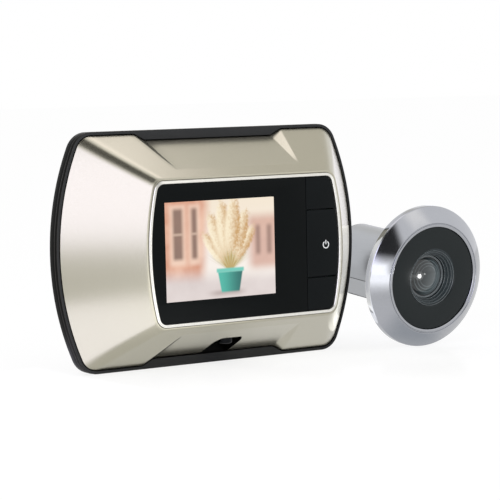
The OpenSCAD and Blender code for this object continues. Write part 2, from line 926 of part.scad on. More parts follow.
// Smoked disc, dished towards the lens
module lens_cover() {
  color("#2a2c2f")
  turned([
    [disc_r, z_disc],
    [disc_r, z_seat],
    [recess_r + dish_wall, z_seat],
    [lens_r + dish_wall, z_dish + dish_chamfer],
    [lens_r + fit_gap, z_dish + dish_chamfer],
    [recess_r, z_disc + dish_chamfer]
  ]);
}

module lens_ring() {
  color("#4a4c50")
  turned([
    [glass_r + lens_gap, z_lens],
    [lens_r - fit_gap, z_lens],
    [lens_r - ring_bevel, z_lens - ring_h],
    [glass_r + ring_bevel, z_lens - ring_h],
    [glass_r + lens_gap, z_lens - ring_bevel]
  ]);
}

module front_lens() {
  dome_r = (glass_r ^ 2 + dome_h ^ 2) / (2 * dome_h);
  color("#3b4450")
  on_barrel()
  translate([0, 0, z_glass])
  intersection() {
    translate([0, 0, dome_r]) sphere(r = dome_r);
    cylinder(r = glass_r, h = z_glass_seat - z_glass);
  }
}

module rear_lens() {
  color("#5a6672")
  on_barrel() translate([0, 0, z_rear_lens]) cylinder(r = glass_r - rear_lens_in, h = rear_lens_t);
}

module lens_barrel() {
  rear_r = glass_r - rear_lens_in + lens_gap;
  color("#1e1f22")
  turned([
    [glass_r + lens_gap, z_lens],
    [lens_r, z_lens],
    [lens_r, z_lens_back],
    [rear_r + stop_step, z_lens_back],
    [rear_r + stop_step, z_rear_stop],
    [rear_r, z_rear_stop],
    [rear_r, z_glass_seat],
    [glass_r + lens_gap, z_glass_seat]
  ]);
}

module lens_mount() {
  color("#2d2f33")
  turned([
    [lens_r + lens_gap, z_lens + mount_start],
    [tube_bore_r - lens_gap, z_lens + mount_start],
    [tube_bore_r - lens_gap, z_lens_back],
    [lens_r + lens_gap, z_lens_back]
  ]);
}

module image_sensor() {
  color("#3a3f63")
  on_barrel()
  translate([0, 0, z_lens_back - sensor_t / 2])
    cube([sensor_w, sensor_h, sensor_t], center = true);
}

module camera_board() {
  color("#2f6b45")
  on_barrel() translate([0, 0, z_lens_back]) cylinder(r = tube_bore_r - fit_gap, h = cam_board_t);
}

module clamp_washer() {
  color("#a9acb0")
  turned([
    [spigot_r + nut_clear, z_washer],
    [washer_r, z_washer],
    [washer_r, z_washer + washer_t],
    [spigot_r + nut_clear, z_washer + washer_t]
  ]);
}

module clamp_nut() {
  color("#b1b4b8")
  on_barrel() translate([0, 0, z_nut])
  difference() {
    cylinder(r = nut_r, h = nut_t, $fn = 6);
    translate([0, 0, -over]) cylinder(r = spigot_r + nut_clear, h = nut_t + 2 * over);
  }
}

bracket();
front_shell();
window_rim();
window_panel();
screen_glass();
lcd_module();
lcd_frame();
upper_key();
power_key();
lower_key();
key_mat();
tact_switches();
main_board();
board_chips();
ribbon_socket();
board_screws();
front_frame();
rear_case();
left_battery_door();
right_battery_door();
battery_cells();
battery_contacts();
case_screws();
lock_screw();
flange();
gasket();
barrel_tube();
lens_cover();
lens_ring();
front_lens();
rear_lens();
lens_barrel();
lens_mount();
image_sensor();
camera_board();
clamp_washer();
clamp_nut();
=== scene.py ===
"""Looks of a peephole door camera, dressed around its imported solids.

Sizes are in millimetres in the frame of the solids, and meshes are written in metres.
"""

import json
import logging
import math
from dataclasses import dataclass, field
from enum import Enum
from typing import Any, Mapping, Optional, Sequence, Union

import bmesh
import bpy
import numpy as np
from mathutils import Matrix, Vector


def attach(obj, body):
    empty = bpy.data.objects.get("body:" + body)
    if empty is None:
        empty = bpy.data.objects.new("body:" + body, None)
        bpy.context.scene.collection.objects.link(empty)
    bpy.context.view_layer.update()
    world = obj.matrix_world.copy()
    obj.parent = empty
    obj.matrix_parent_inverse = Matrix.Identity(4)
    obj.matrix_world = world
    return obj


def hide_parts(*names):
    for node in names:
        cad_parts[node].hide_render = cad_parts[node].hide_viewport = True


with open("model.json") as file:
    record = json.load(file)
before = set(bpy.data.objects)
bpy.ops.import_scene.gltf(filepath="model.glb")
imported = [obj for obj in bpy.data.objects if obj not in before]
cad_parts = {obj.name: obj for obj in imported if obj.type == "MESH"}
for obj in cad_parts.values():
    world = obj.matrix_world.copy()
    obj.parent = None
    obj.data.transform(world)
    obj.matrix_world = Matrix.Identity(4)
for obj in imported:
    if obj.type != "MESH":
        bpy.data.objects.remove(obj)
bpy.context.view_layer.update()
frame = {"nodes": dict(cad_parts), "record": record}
LOG = logging.getLogger("door_viewer")
MM = 0.001

# Sizes that several sub-assemblies share, in millimetres and degrees.
BOW_R = 100.0
WINDOW_Y = -34.0
SCREEN_X, SCREEN_Z = -12.05, 0.6
LOCK_Y = -17.2
CASE_SCREW_X, CASE_SCREW_Z = 53.0, 30.0
HOOK_X, HOOK_W = 13.0, 6.0
FLOOR_Z = -45.0
CAMERA_X, CAMERA_Y, CAMERA_LEAN = 88.0, -31.0, 6.0
FLANGE_R, TUBE_R, GLASS_R = 28.4, 14.8, 7.9
DISH_Z = -16.6

# Edges that turn further than this stay sharp, in degrees.
SHARP = 38.0
# Points closer than this are one point, in metres.
DOUBLE = 2e-7
WHITE = (1.0, 1.0, 1.0, 1.0)

Value = Union[float, Sequence[float], "Sock"]
Profile = Sequence[tuple[float, float, float]]
Pair = tuple[float, float]
Limits = Pair
Place = tuple[float, float, float]
Colour = tuple[float, ...]
Inputs = Mapping[str, Value]
Piece = bpy.types.Object


class Side(Enum):
    """The two sides of a pair, with their sign along X."""

    LEFT = -1
    RIGHT = 1


class Grain(Enum):
    """Direction of the fine lines on a metal."""

    ALONG_X = (60.0, 2600.0, 2600.0)
    ALONG_Y = (2600.0, 60.0, 2600.0)
    ALONG_Z = (2600.0, 2600.0, 60.0)
    NONE = (900.0, 900.0, 900.0)


class Sock:
    """A shader socket whose arithmetic adds Math nodes."""

    def __init__(self, shader: "Shader", socket: Optional[bpy.types.NodeSocket]) -> None:
        """Keeps an output of the shader, or None for an output node."""
        self.shader = shader
        self.socket = socket

    def _math(self, operation: str, left: Value, right: Value = 0.0) -> "Sock":
        """Adds one Math node and gives its result."""
        return self.shader.node("ShaderNodeMath", {"operation": operation}, {0: left, 1: right})

    def __add__(self, other: Value) -> "Sock":
        """Self plus other."""
        return self._math("ADD", self, other)

    def __radd__(self, other: Value) -> "Sock":
        """Other plus self."""
        return self._math("ADD", other, self)

    def __sub__(self, other: Value) -> "Sock":
        """Self less other."""
        return self._math("SUBTRACT", self, other)

    def __rsub__(self, other: Value) -> "Sock":
        """Other less self."""
        return self._math("SUBTRACT", other, self)

    def __mul__(self, other: Value) -> "Sock":
        """Self times other."""
        return self._math("MULTIPLY", self, other)

    def __rmul__(self, other: Value) -> "Sock":
        """Other times self."""
        return self._math("MULTIPLY", other, self)

    def __truediv__(self, other: Value) -> "Sock":
        """Self over other."""
        return self._math("DIVIDE", self, other)

    def __rtruediv__(self, other: Value) -> "Sock":
        """Other over self."""
        return self._math("DIVIDE", other, self)

    def __abs__(self) -> "Sock":
        """Size of self without its sign."""
        return self._math("ABSOLUTE", self)

    def root(self) -> "Sock":
        """Square root of self."""
        return self._math("SQRT", self)

    def turn(self, other: "Sock") -> "Sock":
        """Angle of self over other, in radians."""
        return self._math("ARCTAN2", self, other)

    def larger(self, other: Value) -> "Sock":
        """The larger of self and other."""
        return self._math("MAXIMUM", self, other)

    def ease(self, low: float, high: float) -> "Sock":
        """Smooth step of self from 0 at low to 1 at high."""
        settings = {"interpolation_type": "SMOOTHSTEP", "clamp": True}
        return self.shader.node("ShaderNodeMapRange", settings, {0: self, 1: low, 2: high})

    def between(self, low: float, high: float, soft: float) -> "Sock":
        """Mask that is 1 from low to high, with soft edges."""
        return self.ease(low - soft, low + soft) * (1.0 - self.ease(high - soft, high + soft))


class Shader:
    """A node tree that is written as expressions."""

    def __init__(self, tree: bpy.types.NodeTree) -> None:
        """Takes over a node tree and clears it."""
        self.tree = tree
        tree.nodes.clear()

    def node(
        self,
        kind: str,
        settings: Optional[Mapping[str, Any]] = None,
        inputs: Optional[Mapping[Union[int, str], Value]] = None,
        out: Union[int, str] = 0,
    ) -> Sock:
        """Adds one node.

        Args:
            kind: The node's type.
            settings: Its settings, such as an operation, which are set first.
            inputs: Values or links of its sockets.
            out: The output to return.

        Returns:
            That output.
        """
        made = self.tree.nodes.new(kind)
        for name, value in (settings or {}).items():
            setattr(made, name, value)
        for name, value in (inputs or {}).items():
            if isinstance(value, Sock):
                self.tree.links.new(value.socket, made.inputs[name])
            else:
                made.inputs[name].default_value = value
        return Sock(self, made.outputs[out] if len(made.outputs) else None)

    def place(self) -> Sock:
        """The point on the surface, in metres, in the object's own frame."""
        return self.node("ShaderNodeTexCoord", out="Object")

    def axes(self, vector: Sock) -> tuple[Sock, Sock, Sock]:
        """Splits a vector into its x, y and z."""
        made = self.node("ShaderNodeSeparateXYZ", inputs={0: vector}).socket.node
        return tuple(Sock(self, made.outputs[i]) for i in range(3))

    def stretch(self, vector: Sock, factors: Sequence[float]) -> Sock:
        """Multiplies a vector by one factor an axis."""
        settings = {"operation": "MULTIPLY"}
        return self.node("ShaderNodeVectorMath", settings, {0: vector, 1: factors})

    def noise(self, vector: Sock, scale: float, detail: float = 2.0) -> Sock:
        """Noise from 0 to 1 at a vector."""
        inputs = {"Vector": vector, "Scale": scale, "Detail": detail}
        return self.node("ShaderNodeTexNoise", inputs=inputs)

    def mix(self, share: Value, first: Value, second: Value) -> Sock:
        """Mixes two colours by the share of the second."""
        # Sockets 6 and 7 and output 2 are the ones for colours.
        inputs = {0: share, 6: first, 7: second}
        return self.node("ShaderNodeMix", {"data_type": "RGBA"}, inputs, 2)

    def bump(self, height: Sock, depth_mm: float) -> Sock:
        """Normal of a relief with heights of 0 to 1 and a depth in millimetres."""
        return self.node("ShaderNodeBump", {}, {"Distance": depth_mm * MM, "Height": height})

    def blend(self, share: Value, first: Sock, second: Sock) -> Sock:
        """Mixes two shaders by the share of the second."""
        return self.node("ShaderNodeMixShader", {}, {0: share, 1: first, 2: second})

    def glow(self, colour: Colour, strength: float) -> Sock:
        """Emission of one colour."""
        return self.node("ShaderNodeEmission", {}, {"Color": colour, "Strength": strength})

    def output(self, surface: Sock) -> None:
        """Links a surface to the material's output."""
        self.node("ShaderNodeOutputMaterial", {}, {"Surface": surface})


def rgb(red: float, green: float, blue: float) -> Colour:
    """A linear colour from display values of 0 to 255.

    Args:
        red: Display value of red.
        green: Display value of green.
        blue: Display value of blue.

    Returns:
        The colour, with full alpha.
    """
    linear = [c / 12.92 if c <= 0.04045 else ((c + 0.055) / 1.055) ** 2.4
              for c in (red / 255, green / 255, blue / 255)]
    return (*linear, 1.0)


def node_material(name: str) -> tuple[bpy.types.Material, Shader]:
    """Makes a material with an empty shader.

    Args:
        name: The material's name.

    Returns:
        The material and its shader.
    """
    material = bpy.data.materials.new(name)
    material.use_nodes = True
    return material, Shader(material.node_tree)


@dataclass(frozen=True)
class Finish:
    """Base of the finishes."""

    def surface(self, s: Shader) -> Inputs:
        """Values and links of the surface shader."""
        raise NotImplementedError

    def make(self, name: str) -> bpy.types.Material:
        """Makes the material.

        Args:
            name: The material's name.

        Returns:
            The material.
        """
        material, s = node_material(name)
        s.output(s.node("ShaderNodeBsdfPrincipled", {}, self.surface(s)))
        return material


@dataclass(frozen=True)
class Lacquer(Finish):
    """Satin metallic lacquer with fine flakes under a clear coat."""

    base: Colour
    flake: Colour
    metallic: float = 0.9
    roughness: float = 0.2
    coat: float = 0.2
    coat_roughness: float = 0.2
    flake_scale: float = 3200.0
    flake_mm: float = 0.0008
    flake_drift: float = 0.04
    cloud_scale: float = 45.0
    cloud_drift: float = 0.05

    def surface(self, s: Shader) -> Inputs:
        """Flecked colour, with roughness that drifts a little.

        Args:
            s: The shader.

        Returns:
            The surface's inputs.
        """
        at = s.place()
        flakes = s.noise(at, self.flake_scale, 1.0)
        cloud = s.noise(at, self.cloud_scale)
        drift = self.cloud_drift * cloud + self.flake_drift * flakes
        return {
            "Base Color": s.mix(flakes.ease(0.35, 0.75), self.base, self.flake),
            "Metallic": self.metallic,
            "Roughness": self.roughness + drift,
            "Coat Weight": self.coat,
            "Coat Roughness": self.coat_roughness,
            "Normal": s.bump(flakes, self.flake_mm),
        }


@dataclass(frozen=True)
class Plastic(Finish):
    """Moulded plastic or rubber with a fine grain."""

    base: Colour
    worn: Colour
    roughness: float = 0.4
    grain_scale: float = 1500.0
    grain_mm: float = 0.02
    specular: float = 0.5
    # Emission that makes a plastic glow though it is no lamp: painted light where it is set.
    glow: float = 0.0
    grain_share: float = 0.3
    cloud_scale: float = 60.0
    cloud_share: float = 0.6
    drift: float = 0.08

    def surface(self, s: Shader) -> Inputs:
        """Slightly clouded colour over a fine grain.

        Args:
            s: The shader.

        Returns:
            The surface's inputs.
        """
        at = s.place()
        grain = s.noise(at, self.grain_scale)
        cloud = s.noise(at, self.cloud_scale)
        wear = self.cloud_share * cloud + self.grain_share * grain
        colour = s.mix(wear, self.base, self.worn)
        return {
            "Base Color": colour,
            "Roughness": self.roughness + self.drift * (cloud - 0.5),
            "Specular IOR Level": self.specular,
            "Emission Color": colour,
            "Emission Strength": self.glow,
            "Normal": s.bump(grain, self.grain_mm),
        }


@dataclass(frozen=True)
class SideShadedPlastic(Plastic):
    """Plastic with painted shade: its sides darker than its front face."""

    # Painted shade: the colour of the faces that turn sideways.
    side: Colour = rgb(14, 14, 13)

    def surface(self, s: Shader) -> Inputs:
        """Plastic with the painted-shade side colour wherever it faces sideways.

        Args:
            s: The shader.

        Returns:
            The surface's inputs.
        """
        inputs = dict(super().surface(s))
        _, ahead, _ = s.axes(s.node("ShaderNodeTexCoord", out="Normal"))
        front = abs(ahead).ease(0.4, 0.95)
        inputs["Base Color"] = s.mix(front, self.side, inputs["Base Color"])
        return inputs


@dataclass(frozen=True)
class DishLitPlastic(Plastic):
    """Smoked plastic with painted light: paler inside its dish."""

    # Painted light: the paler colour inside the dish.
    dish: Colour = rgb(66, 75, 79)
    x: float = CAMERA_X
    z: float = DISH_Z
    r: float = 11.3
    soft: float = 0.3

    def surface(self, s: Shader) -> Inputs:
        """Plastic with the painted light of the dish colour around the dish's middle.

        Args:
            s: The shader.

        Returns:
            The surface's inputs.
        """
        inputs = dict(super().surface(s))
        x, _, z = s.axes(s.place())
        across, up = x / MM - self.x, z / MM - self.z
        far = (across * across + up * up).root()
        inside = 1.0 - far.ease(self.r - self.soft, self.r)
        inputs["Base Color"] = s.mix(inside, inputs["Base Color"], self.dish)
        return inputs


@dataclass(frozen=True)
class Metal(Finish):
    """Metal or plating with fine lines or a soft bloom."""

    base: Colour
    dull: Colour
    roughness: float = 0.12
    lines: Grain = Grain.NONE
    spread: float = 0.06
    relief_mm: float = 0.0015
    bloom_scale: float = 70.0

    def surface(self, s: Shader) -> Inputs:
        """Lines that change the roughness and the colour a little.

        Args:
            s: The shader.

        Returns:
            The surface's inputs.
        """
        at = s.place()
        lines = s.noise(s.stretch(at, self.lines.value), 1.0)
        bloom = s.noise(at, self.bloom_scale)
        return {
            "Base Color": s.mix(0.5 * lines + 0.5 * bloom, self.base, self.dull),
            "Metallic": 1.0,
            "Roughness": self.roughness + self.spread * (lines + bloom - 1.0),
            "Normal": s.bump(lines, self.relief_mm),
        }


@dataclass(frozen=True)
class Glass(Finish):
    """Coated glass that shows what lies behind it."""

    tint: Colour
    bloom: Colour
    alpha: float = 0.35
    roughness: float = 0.03
    specular: float = 0.9
    coat_roughness: float = 0.02
    drift: float = 0.02
    drift_scale: float = 90.0

    def surface(self, s: Shader) -> Inputs:
        """Faint coating colour that drifts over the surface.

        Args:
            s: The shader.

        Returns:
            The surface's inputs.
        """
        drift = s.noise(s.place(), self.drift_scale)
        return {
            "Base Color": s.mix(drift, self.tint, self.bloom),
            "Roughness": self.roughness + self.drift * drift,
            "Specular IOR Level": self.specular,
            "Coat Weight": 1.0,
            "Coat Roughness": self.coat_roughness,
            "Alpha": self.alpha,
        }


@dataclass(frozen=True)
class DomeGlass(Finish):
    """Deep lens glass with painted light, and painted rings of light for the elements behind."""

    tint: Colour
    # Colour of the painted light.
    bloom: Colour
    x: float = CAMERA_X
    z: float = DISH_Z
    r: float = GLASS_R
    roughness: float = 0.04
    drift: float = 0.02
    drift_scale: float = 300.0
    coat: float = 0.6
    coat_roughness: float = 0.02
    middle_light: float = 0.35
    right_light: float = 0.4
    low_light: float = 0.15
    # Radius and brightness of each painted ring of light.
    rings: tuple[Pair, ...] = ((0.52, 0.25), (0.66, 0.35), (0.8, 0.45))
    ring_w: float = 0.04

    def surface(self, s: Shader) -> Inputs:
        """Painted light: paler to the right and low, with painted rings of light.

        Args:
            s: The shader.

        Returns:
            The surface's inputs.
        """
        at = s.place()
        x, _, z = s.axes(at)
        across = (x - self.x * MM) / (self.r * MM)
        up = (z - self.z * MM) / (self.r * MM)
        far = (across * across + up * up).root()
        light = self.middle_light + self.right_light * across - self.low_light * up
        for ring, share in self.rings:
            light = light + share * (1.0 - abs(far - ring).ease(0.0, self.ring_w))
        return {
            "Base Color": s.mix(light.ease(0.0, 1.2), self.tint, self.bloom),
            "Roughness": self.roughness + self.drift * s.noise(at, self.drift_scale),
            "Coat Weight": self.coat,
            "Coat Roughness": self.coat_roughness,
        }


@dataclass(frozen=True)
class Board(Finish):
    """Printed board with a solder mask, tracks and small pads."""

    mask: Colour = rgb(34, 92, 52)
    track: Colour = rgb(52, 122, 70)
    pad: Colour = rgb(206, 178, 110)
    track_scale: float = 420.0
    pad_scale: float = 300.0
    relief_mm: float = 0.03

    def surface(self, s: Shader) -> Inputs:
        """Tracks as level bands of cells, pads as spots.

        Args:
            s: The shader.

        Returns:
            The surface's inputs.
        """
        at = s.place()
        cells, spots = (
            s.node("ShaderNodeTexVoronoi", {"distance": kind}, {"Vector": at, "Scale": scale})
            for kind, scale in (("MANHATTAN", self.track_scale), ("EUCLIDEAN", self.pad_scale)))
        tracks = cells.ease(0.42, 0.46) * (1.0 - cells.ease(0.54, 0.58))
        pads = 1.0 - spots.ease(0.10, 0.13)
        return {
            "Base Color": s.mix(pads, s.mix(tracks, self.mask, self.track), self.pad),
            "Metallic": 0.8 * pads,
            "Roughness": 0.38 + 0.1 * tracks,
            "Normal": s.bump(tracks.larger(pads), self.relief_mm),
        }


@dataclass(frozen=True)
class CellSleeve(Finish):
    """Plain two-colour sleeve of a battery cell with its bare metal ends."""

    body: Colour = rgb(46, 48, 52)
    band: Colour = rgb(196, 142, 66)
    sheen: Colour = rgb(255, 255, 255)
    metal: Colour = rgb(190, 190, 188)
    band_from: float = 0.006
    half_length: float = 0.0213

    def surface(self, s: Shader) -> Inputs:
        """Band on the upper third, metal past the sleeve's ends.

        Args:
            s: The shader.

        Returns:
            The surface's inputs.
        """
        at = s.place()
        _, _, z = s.axes(at)
        ends = abs(z).ease(self.half_length, self.half_length + 0.0002)
        band = z.ease(self.band_from, self.band_from + 0.0003)
        fine = s.noise(at, 500.0)
        sleeve = s.mix(0.15 * fine, s.mix(band, self.body, self.band), self.sheen)
        return {
            "Base Color": s.mix(ends, sleeve, self.metal),
            "Metallic": 0.35 + 0.6 * ends,
            "Roughness": 0.26 + 0.1 * fine,
            "Normal": s.bump(fine, 0.01),
        }


class Canvas:
    """A picture that is painted layer over layer."""

    def __init__(self, s: Shader, u: Sock, v: Sock, ground: Sock) -> None:
        """Starts from the places across and up, 0 to 1, and a first layer."""
        self.s, self.u, self.v, self.view = s, u, v, ground

    def paint(self, mask: Sock, colour: Value) -> None:
        """Lays a colour over the picture where the mask is 1."""
        self.view = self.s.mix(mask, self.view, colour)


@dataclass(frozen=True)
class StreetPicture(Finish):
    """Lit picture of a quiet street seen from a door, soft as such a lens gives it."""

    left: float
    low: float
    width: float
    height: float
    level: float = 0.96
    pot_u: float = 0.58
    grass_v: float = 0.26
    # Lean in radians, height and girth of each plume, in picture heights.
    plumes: tuple[tuple[float, float, float], ...] = (
        (-0.66, 0.50, 0.07), (0.58, 0.52, 0.07), (-0.38, 0.62, 0.085),
        (0.32, 0.63, 0.085), (-0.14, 0.70, 0.095), (0.08, 0.72, 0.095))

    def surface(self, s: Shader) -> Inputs:
        """Two house fronts, the sky, paving and a pot of tall grass.

        Args:
            s: The shader.

        Returns:
            The surface's inputs.
        """
        at = s.place()
        x, _, z = s.axes(at)
        u = (x - self.left * MM) / (self.width * MM)
        v = (z - self.low * MM) / (self.height * MM)
        haze = s.noise(at, 140.0)
        sky = s.mix(v.ease(0.45, 1.0), rgb(248, 240, 232), rgb(244, 230, 210))
        canvas = Canvas(s, u, v, sky)
        self._houses(canvas, haze)
        paving = s.mix(haze, rgb(232, 222, 219), rgb(212, 199, 196))
        canvas.paint(1.0 - (v + 0.05 * u).ease(0.16, 0.36), paving)
        self._grass(canvas, s.noise(at, 1100.0, 4.0))
        self._pot(canvas)
        return {
            "Base Color": (0.02, 0.02, 0.02, 1.0),
            "Roughness": 0.22,
            "Emission Color": canvas.view,
            "Emission Strength": self.level,
        }

    def _from_pot(self, u: Sock) -> Sock:
        """Place across from the pot's middle, in picture heights."""
        return (u - self.pot_u) * (self.width / self.height)

    def _houses(self, canvas: Canvas, haze: Sock) -> None:
        """Paints the house fronts with their windows.

        Args:
            canvas: The picture.
            haze: Soft noise.
        """
        s, u, v = canvas.s, canvas.u, canvas.v
        wall = s.mix(haze.ease(0.3, 0.7), rgb(234, 184, 158), rgb(214, 152, 124))
        canvas.paint(1.0 - (u - 0.06 * v).ease(0.26, 0.38), wall)
        dark = s.mix(haze, rgb(84, 62, 54), rgb(140, 104, 88))
        for low, high in ((0.07, 0.155), (0.235, 0.285)):
            edge = u.between(low - 0.03, high + 0.03, 0.03) * v.between(0.36, 0.97, 0.03)
            canvas.paint(0.6 * edge, rgb(246, 220, 200))
            pane = u.between(low, high, 0.022) * v.between(0.42, 0.93, 0.03)
            canvas.paint(0.86 * pane, dark)
            bar = v.between(0.66, 0.685, 0.012) * u.between(low, high, 0.02)
            canvas.paint(0.5 * bar, rgb(236, 206, 184))
        far = (u + 0.04 * v).ease(0.72, 0.84) * v.between(0.28, 0.82, 0.07)
        canvas.paint(0.8 * far, s.mix(haze, rgb(220, 172, 152), rgb(198, 146, 128)))
        for low in (0.82, 0.925):
            pane = u.between(low, low + 0.045, 0.022) * v.between(0.42, 0.72, 0.035)
            canvas.paint(0.62 * pane, rgb(118, 86, 76))

    def _grass(self, canvas: Canvas, feather: Sock) -> None:
        """Paints tall golden plumes and the leaves under them.

        Args:
            canvas: The picture.
            feather: Fine noise.
        """
        s = canvas.s
        across, up = self._from_pot(canvas.u), canvas.v - self.grass_v
        lean = across.turn(up)
        blades = s.node("ShaderNodeTexNoise", {"noise_dimensions": "1D"},
                        {"W": 9.0 * lean, "Scale": 2.4, "Detail": 4.0})
        reach = (across * across + up * up).root() + 0.3 * (blades - 0.5)
        fan = (1.0 - reach.ease(0.16, 0.34)) * (1.0 - abs(lean).ease(0.7, 1.15))
        leaf = s.mix(blades.ease(0.35, 0.65), rgb(150, 138, 74), rgb(222, 202, 132))
        canvas.paint(0.85 * fan * up.ease(-0.03, 0.02), leaf)
        for turn, tall, girth in self.plumes:
            c, n = math.cos(turn), math.sin(turn)
            along, side = n * across + c * up, c * across - n * up
            stem = (1.0 - abs(side).ease(0.004, 0.014)) * along.between(0.02, 0.45 * tall, 0.03)
            canvas.paint(0.8 * stem, rgb(186, 158, 92))
            far, wide = (along - 0.66 * tall) / (0.4 * tall), side / girth
            plume = 1.0 - (far * far + wide * wide + 1.2 * (feather - 0.5)).ease(0.45, 1.3)
            light = (0.55 - 0.5 * wide + 0.8 * (feather - 0.5)).ease(0.0, 1.0)
            canvas.paint(0.95 * plume, s.mix(light, rgb(198, 150, 86), rgb(253, 240, 210)))

    def _pot(self, canvas: Canvas) -> None:
        """Paints the pot and its shadow.

        Args:
            canvas: The picture.
        """
        across, v = self._from_pot(canvas.u), canvas.v
        shadow = 1.0 - abs(across + 0.04).ease(0.10, 0.28)
        canvas.paint(0.5 * shadow * (1.0 - abs(v - 0.055).ease(0.0, 0.05)), rgb(150, 128, 122))
        side = abs(across) - 0.2 * v
        pot = (1.0 - side.ease(0.088, 0.108)) * v.between(0.06, 0.27, 0.014)
        right = (across + 0.15).ease(0.0, 0.3)
        canvas.paint(pot, canvas.s.mix(right, rgb(72, 184, 166), rgb(20, 108, 102)))
        rim = (1.0 - abs(across).ease(0.155, 0.178)) * v.between(0.262, 0.302, 0.012)
        canvas.paint(rim, rgb(112, 202, 186))


def arc(cx: float, cy: float, r: float, start: float, end: float, steps: int) -> np.ndarray:
    """Points on an arc, in degrees."""
    turn = np.radians(np.linspace(start, end, steps + 1))
    return np.column_stack([cx + r * np.cos(turn), cy + r * np.sin(turn)])


def rounded(corners: Profile, steps: int = 5) -> np.ndarray:
    """Closed outline with its corners turned into arcs.

    Args:
        corners: Corner points, each with its radius.
        steps: Steps of each arc.

    Returns:
        The outline's points.
    """
    points: list[np.ndarray] = []
    count = len(corners)
    for i, (a, b, r) in enumerate(corners):
        here = np.array([a, b])
        back = np.array(corners[i - 1][:2]) - here
        ahead = np.array(corners[(i + 1) % count][:2]) - here
        if r <= 0:
            points.append(here)
            continue
        long_back, long_ahead = np.linalg.norm(back), np.linalg.norm(ahead)
        back, ahead = back / long_back, ahead / long_ahead
        half = 0.5 * math.acos(float(np.clip(back @ ahead, -1, 1)))
        cut = min(r / math.tan(half), 0.48 * long_back, 0.48 * long_ahead)
        radius = cut * math.tan(half)
        middle = here + (back + ahead) / np.linalg.norm(back + ahead) * radius / math.sin(half)
        first = here + back * cut - middle
        last = here + ahead * cut - middle
        start = math.atan2(first[1], first[0])
        sweep = (math.atan2(last[1], last[0]) - start + math.pi) % (2 * math.pi) - math.pi
        for k in range(steps + 1):
            turn = start + sweep * k / steps
            points.append(middle + radius * np.array([math.cos(turn), math.sin(turn)]))
    return np.array(points)


def oblong(x: Limits, z: Limits, r: float, steps: int = 5) -> np.ndarray:
    """Outline of a rectangle between limits, with round corners."""
    corners = [(x[0], z[0], r), (x[1], z[0], r), (x[1], z[1], r), (x[0], z[1], r)]
    return rounded(corners, steps)


def about(middle: float, half: float) -> Limits:
    """Limits at the same distance to both sides of a middle."""
    return middle - half, middle + half


def wound(points: np.ndarray, middle: Sequence[float]) -> np.ndarray:
    """Points put in order round a middle."""
    turn = np.arctan2(points[:, 1] - middle[1], points[:, 0] - middle[0])
    return points[np.argsort(turn)]


def linked(name: str, data: Any) -> Piece:
    """Makes an object and links it to the scene.

    Args:
        name: The object's name.
        data: Its mesh, curve, lamp or camera.

    Returns:
        The object.
    """
    obj = bpy.data.objects.new(name, data)
    bpy.context.scene.collection.objects.link(obj)
    return obj


def piece_from(name: str, verts: np.ndarray, faces: Sequence[Sequence[int]],
               sharp: float = SHARP, outward: bool = True) -> Piece:
    """Makes a piece from points in millimetres.

    Args:
        name: The piece's name.
        verts: Its points.
        faces: Its faces.
        sharp: Angle past which its edges stay sharp.
        outward: Whether its faces are turned to face outward.

    Returns:
        The piece.
    """
    mesh = bpy.data.meshes.new(name)
    mesh.from_pydata((np.asarray(verts, float) * MM).tolist(), [], [list(f) for f in faces])
    tidy_mesh(mesh, sharp, outward)
    return linked(name, mesh)


def tidy_mesh(mesh: bpy.types.Mesh, sharp: float, outward: bool) -> None:
    """Merges doubled points, drops empty faces and sets the smooth shading.

    Args:
        mesh: The mesh.
        sharp: Angle past which its edges stay sharp.
        outward: Whether its faces are turned to face outward.
    """
    bm = bmesh.new()
    bm.from_mesh(mesh)
    bmesh.ops.remove_doubles(bm, verts=bm.verts, dist=DOUBLE)
    bmesh.ops.dissolve_degenerate(bm, edges=bm.edges, dist=DOUBLE / 2)
    if outward:
        bmesh.ops.recalc_face_normals(bm, faces=bm.faces)
    bm.to_mesh(mesh)
    bm.free()
    mesh.polygons.foreach_set("use_smooth", [True] * len(mesh.polygons))
    mesh.set_sharp_from_angle(angle=math.radians(sharp))
    mesh.update()


def settle(obj: Piece, sharp: float = SHARP, outward: bool = True) -> Piece:
    """Turns a piece's modifiers into plain mesh.

    Args:
        obj: The piece.
        sharp: Angle past which its edges stay sharp.
        outward: Whether its faces are turned to face outward.

    Returns:
        The same piece.
    """
    graph = bpy.context.evaluated_depsgraph_get()
    mesh = bpy.data.meshes.new_from_object(obj.evaluated_get(graph))
    obj.modifiers.clear()
    obj.data = mesh
    mesh.name = obj.name
    tidy_mesh(mesh, sharp, outward)
    return obj


def thickened(obj: Piece, wall: float, offset: float, sharp: float = SHARP,
              outward: bool = True) -> Piece:
    """Gives an open skin a thickness.

    Args:
        obj: The skin.
        wall: Its thickness, in millimetres.
        offset: -1 to grow inward, 0 to grow to both sides.
        sharp: Angle past which its edges stay sharp.
        outward: Whether its faces are turned to face outward.

    Returns:
        The same piece.
    """
    thick = obj.modifiers.new("wall", "SOLIDIFY")
    thick.thickness = wall * MM
    thick.offset = offset
    return settle(obj, sharp, outward)


def shift(obj: Piece, at: Sequence[float], turn: float, axis: str) -> None:
    """Turns a piece's mesh about an axis and then moves it."""
    obj.data.transform(Matrix.Translation(Vector(at) * MM) @ Matrix.Rotation(turn, 4, axis))


def loft(name: str, loops: Sequence[np.ndarray], ring: bool = True, caps: bool = False,
         sharp: float = SHARP) -> Piece:
    """Skin over a row of closed loops.

    Args:
        name: The piece's name.
        loops: Loops of equal length, in millimetres.
        ring: Whether the last loop joins the first.
        caps: Whether the first and last loops are closed by a face.
        sharp: Angle past which its edges stay sharp.

    Returns:
        The piece.
    """
    count, size = len(loops), len(loops[0])
    faces: list[Sequence[int]] = []
    for i in range(count if ring else count - 1):
        j = (i + 1) % count
        for k in range(size):
            m = (k + 1) % size
            faces.append((i * size + k, j * size + k, j * size + m, i * size + m))
    if caps:
        faces.append(range(size))
        faces.append(range((count - 1) * size, count * size))
    return piece_from(name, np.vstack(loops), faces, sharp)


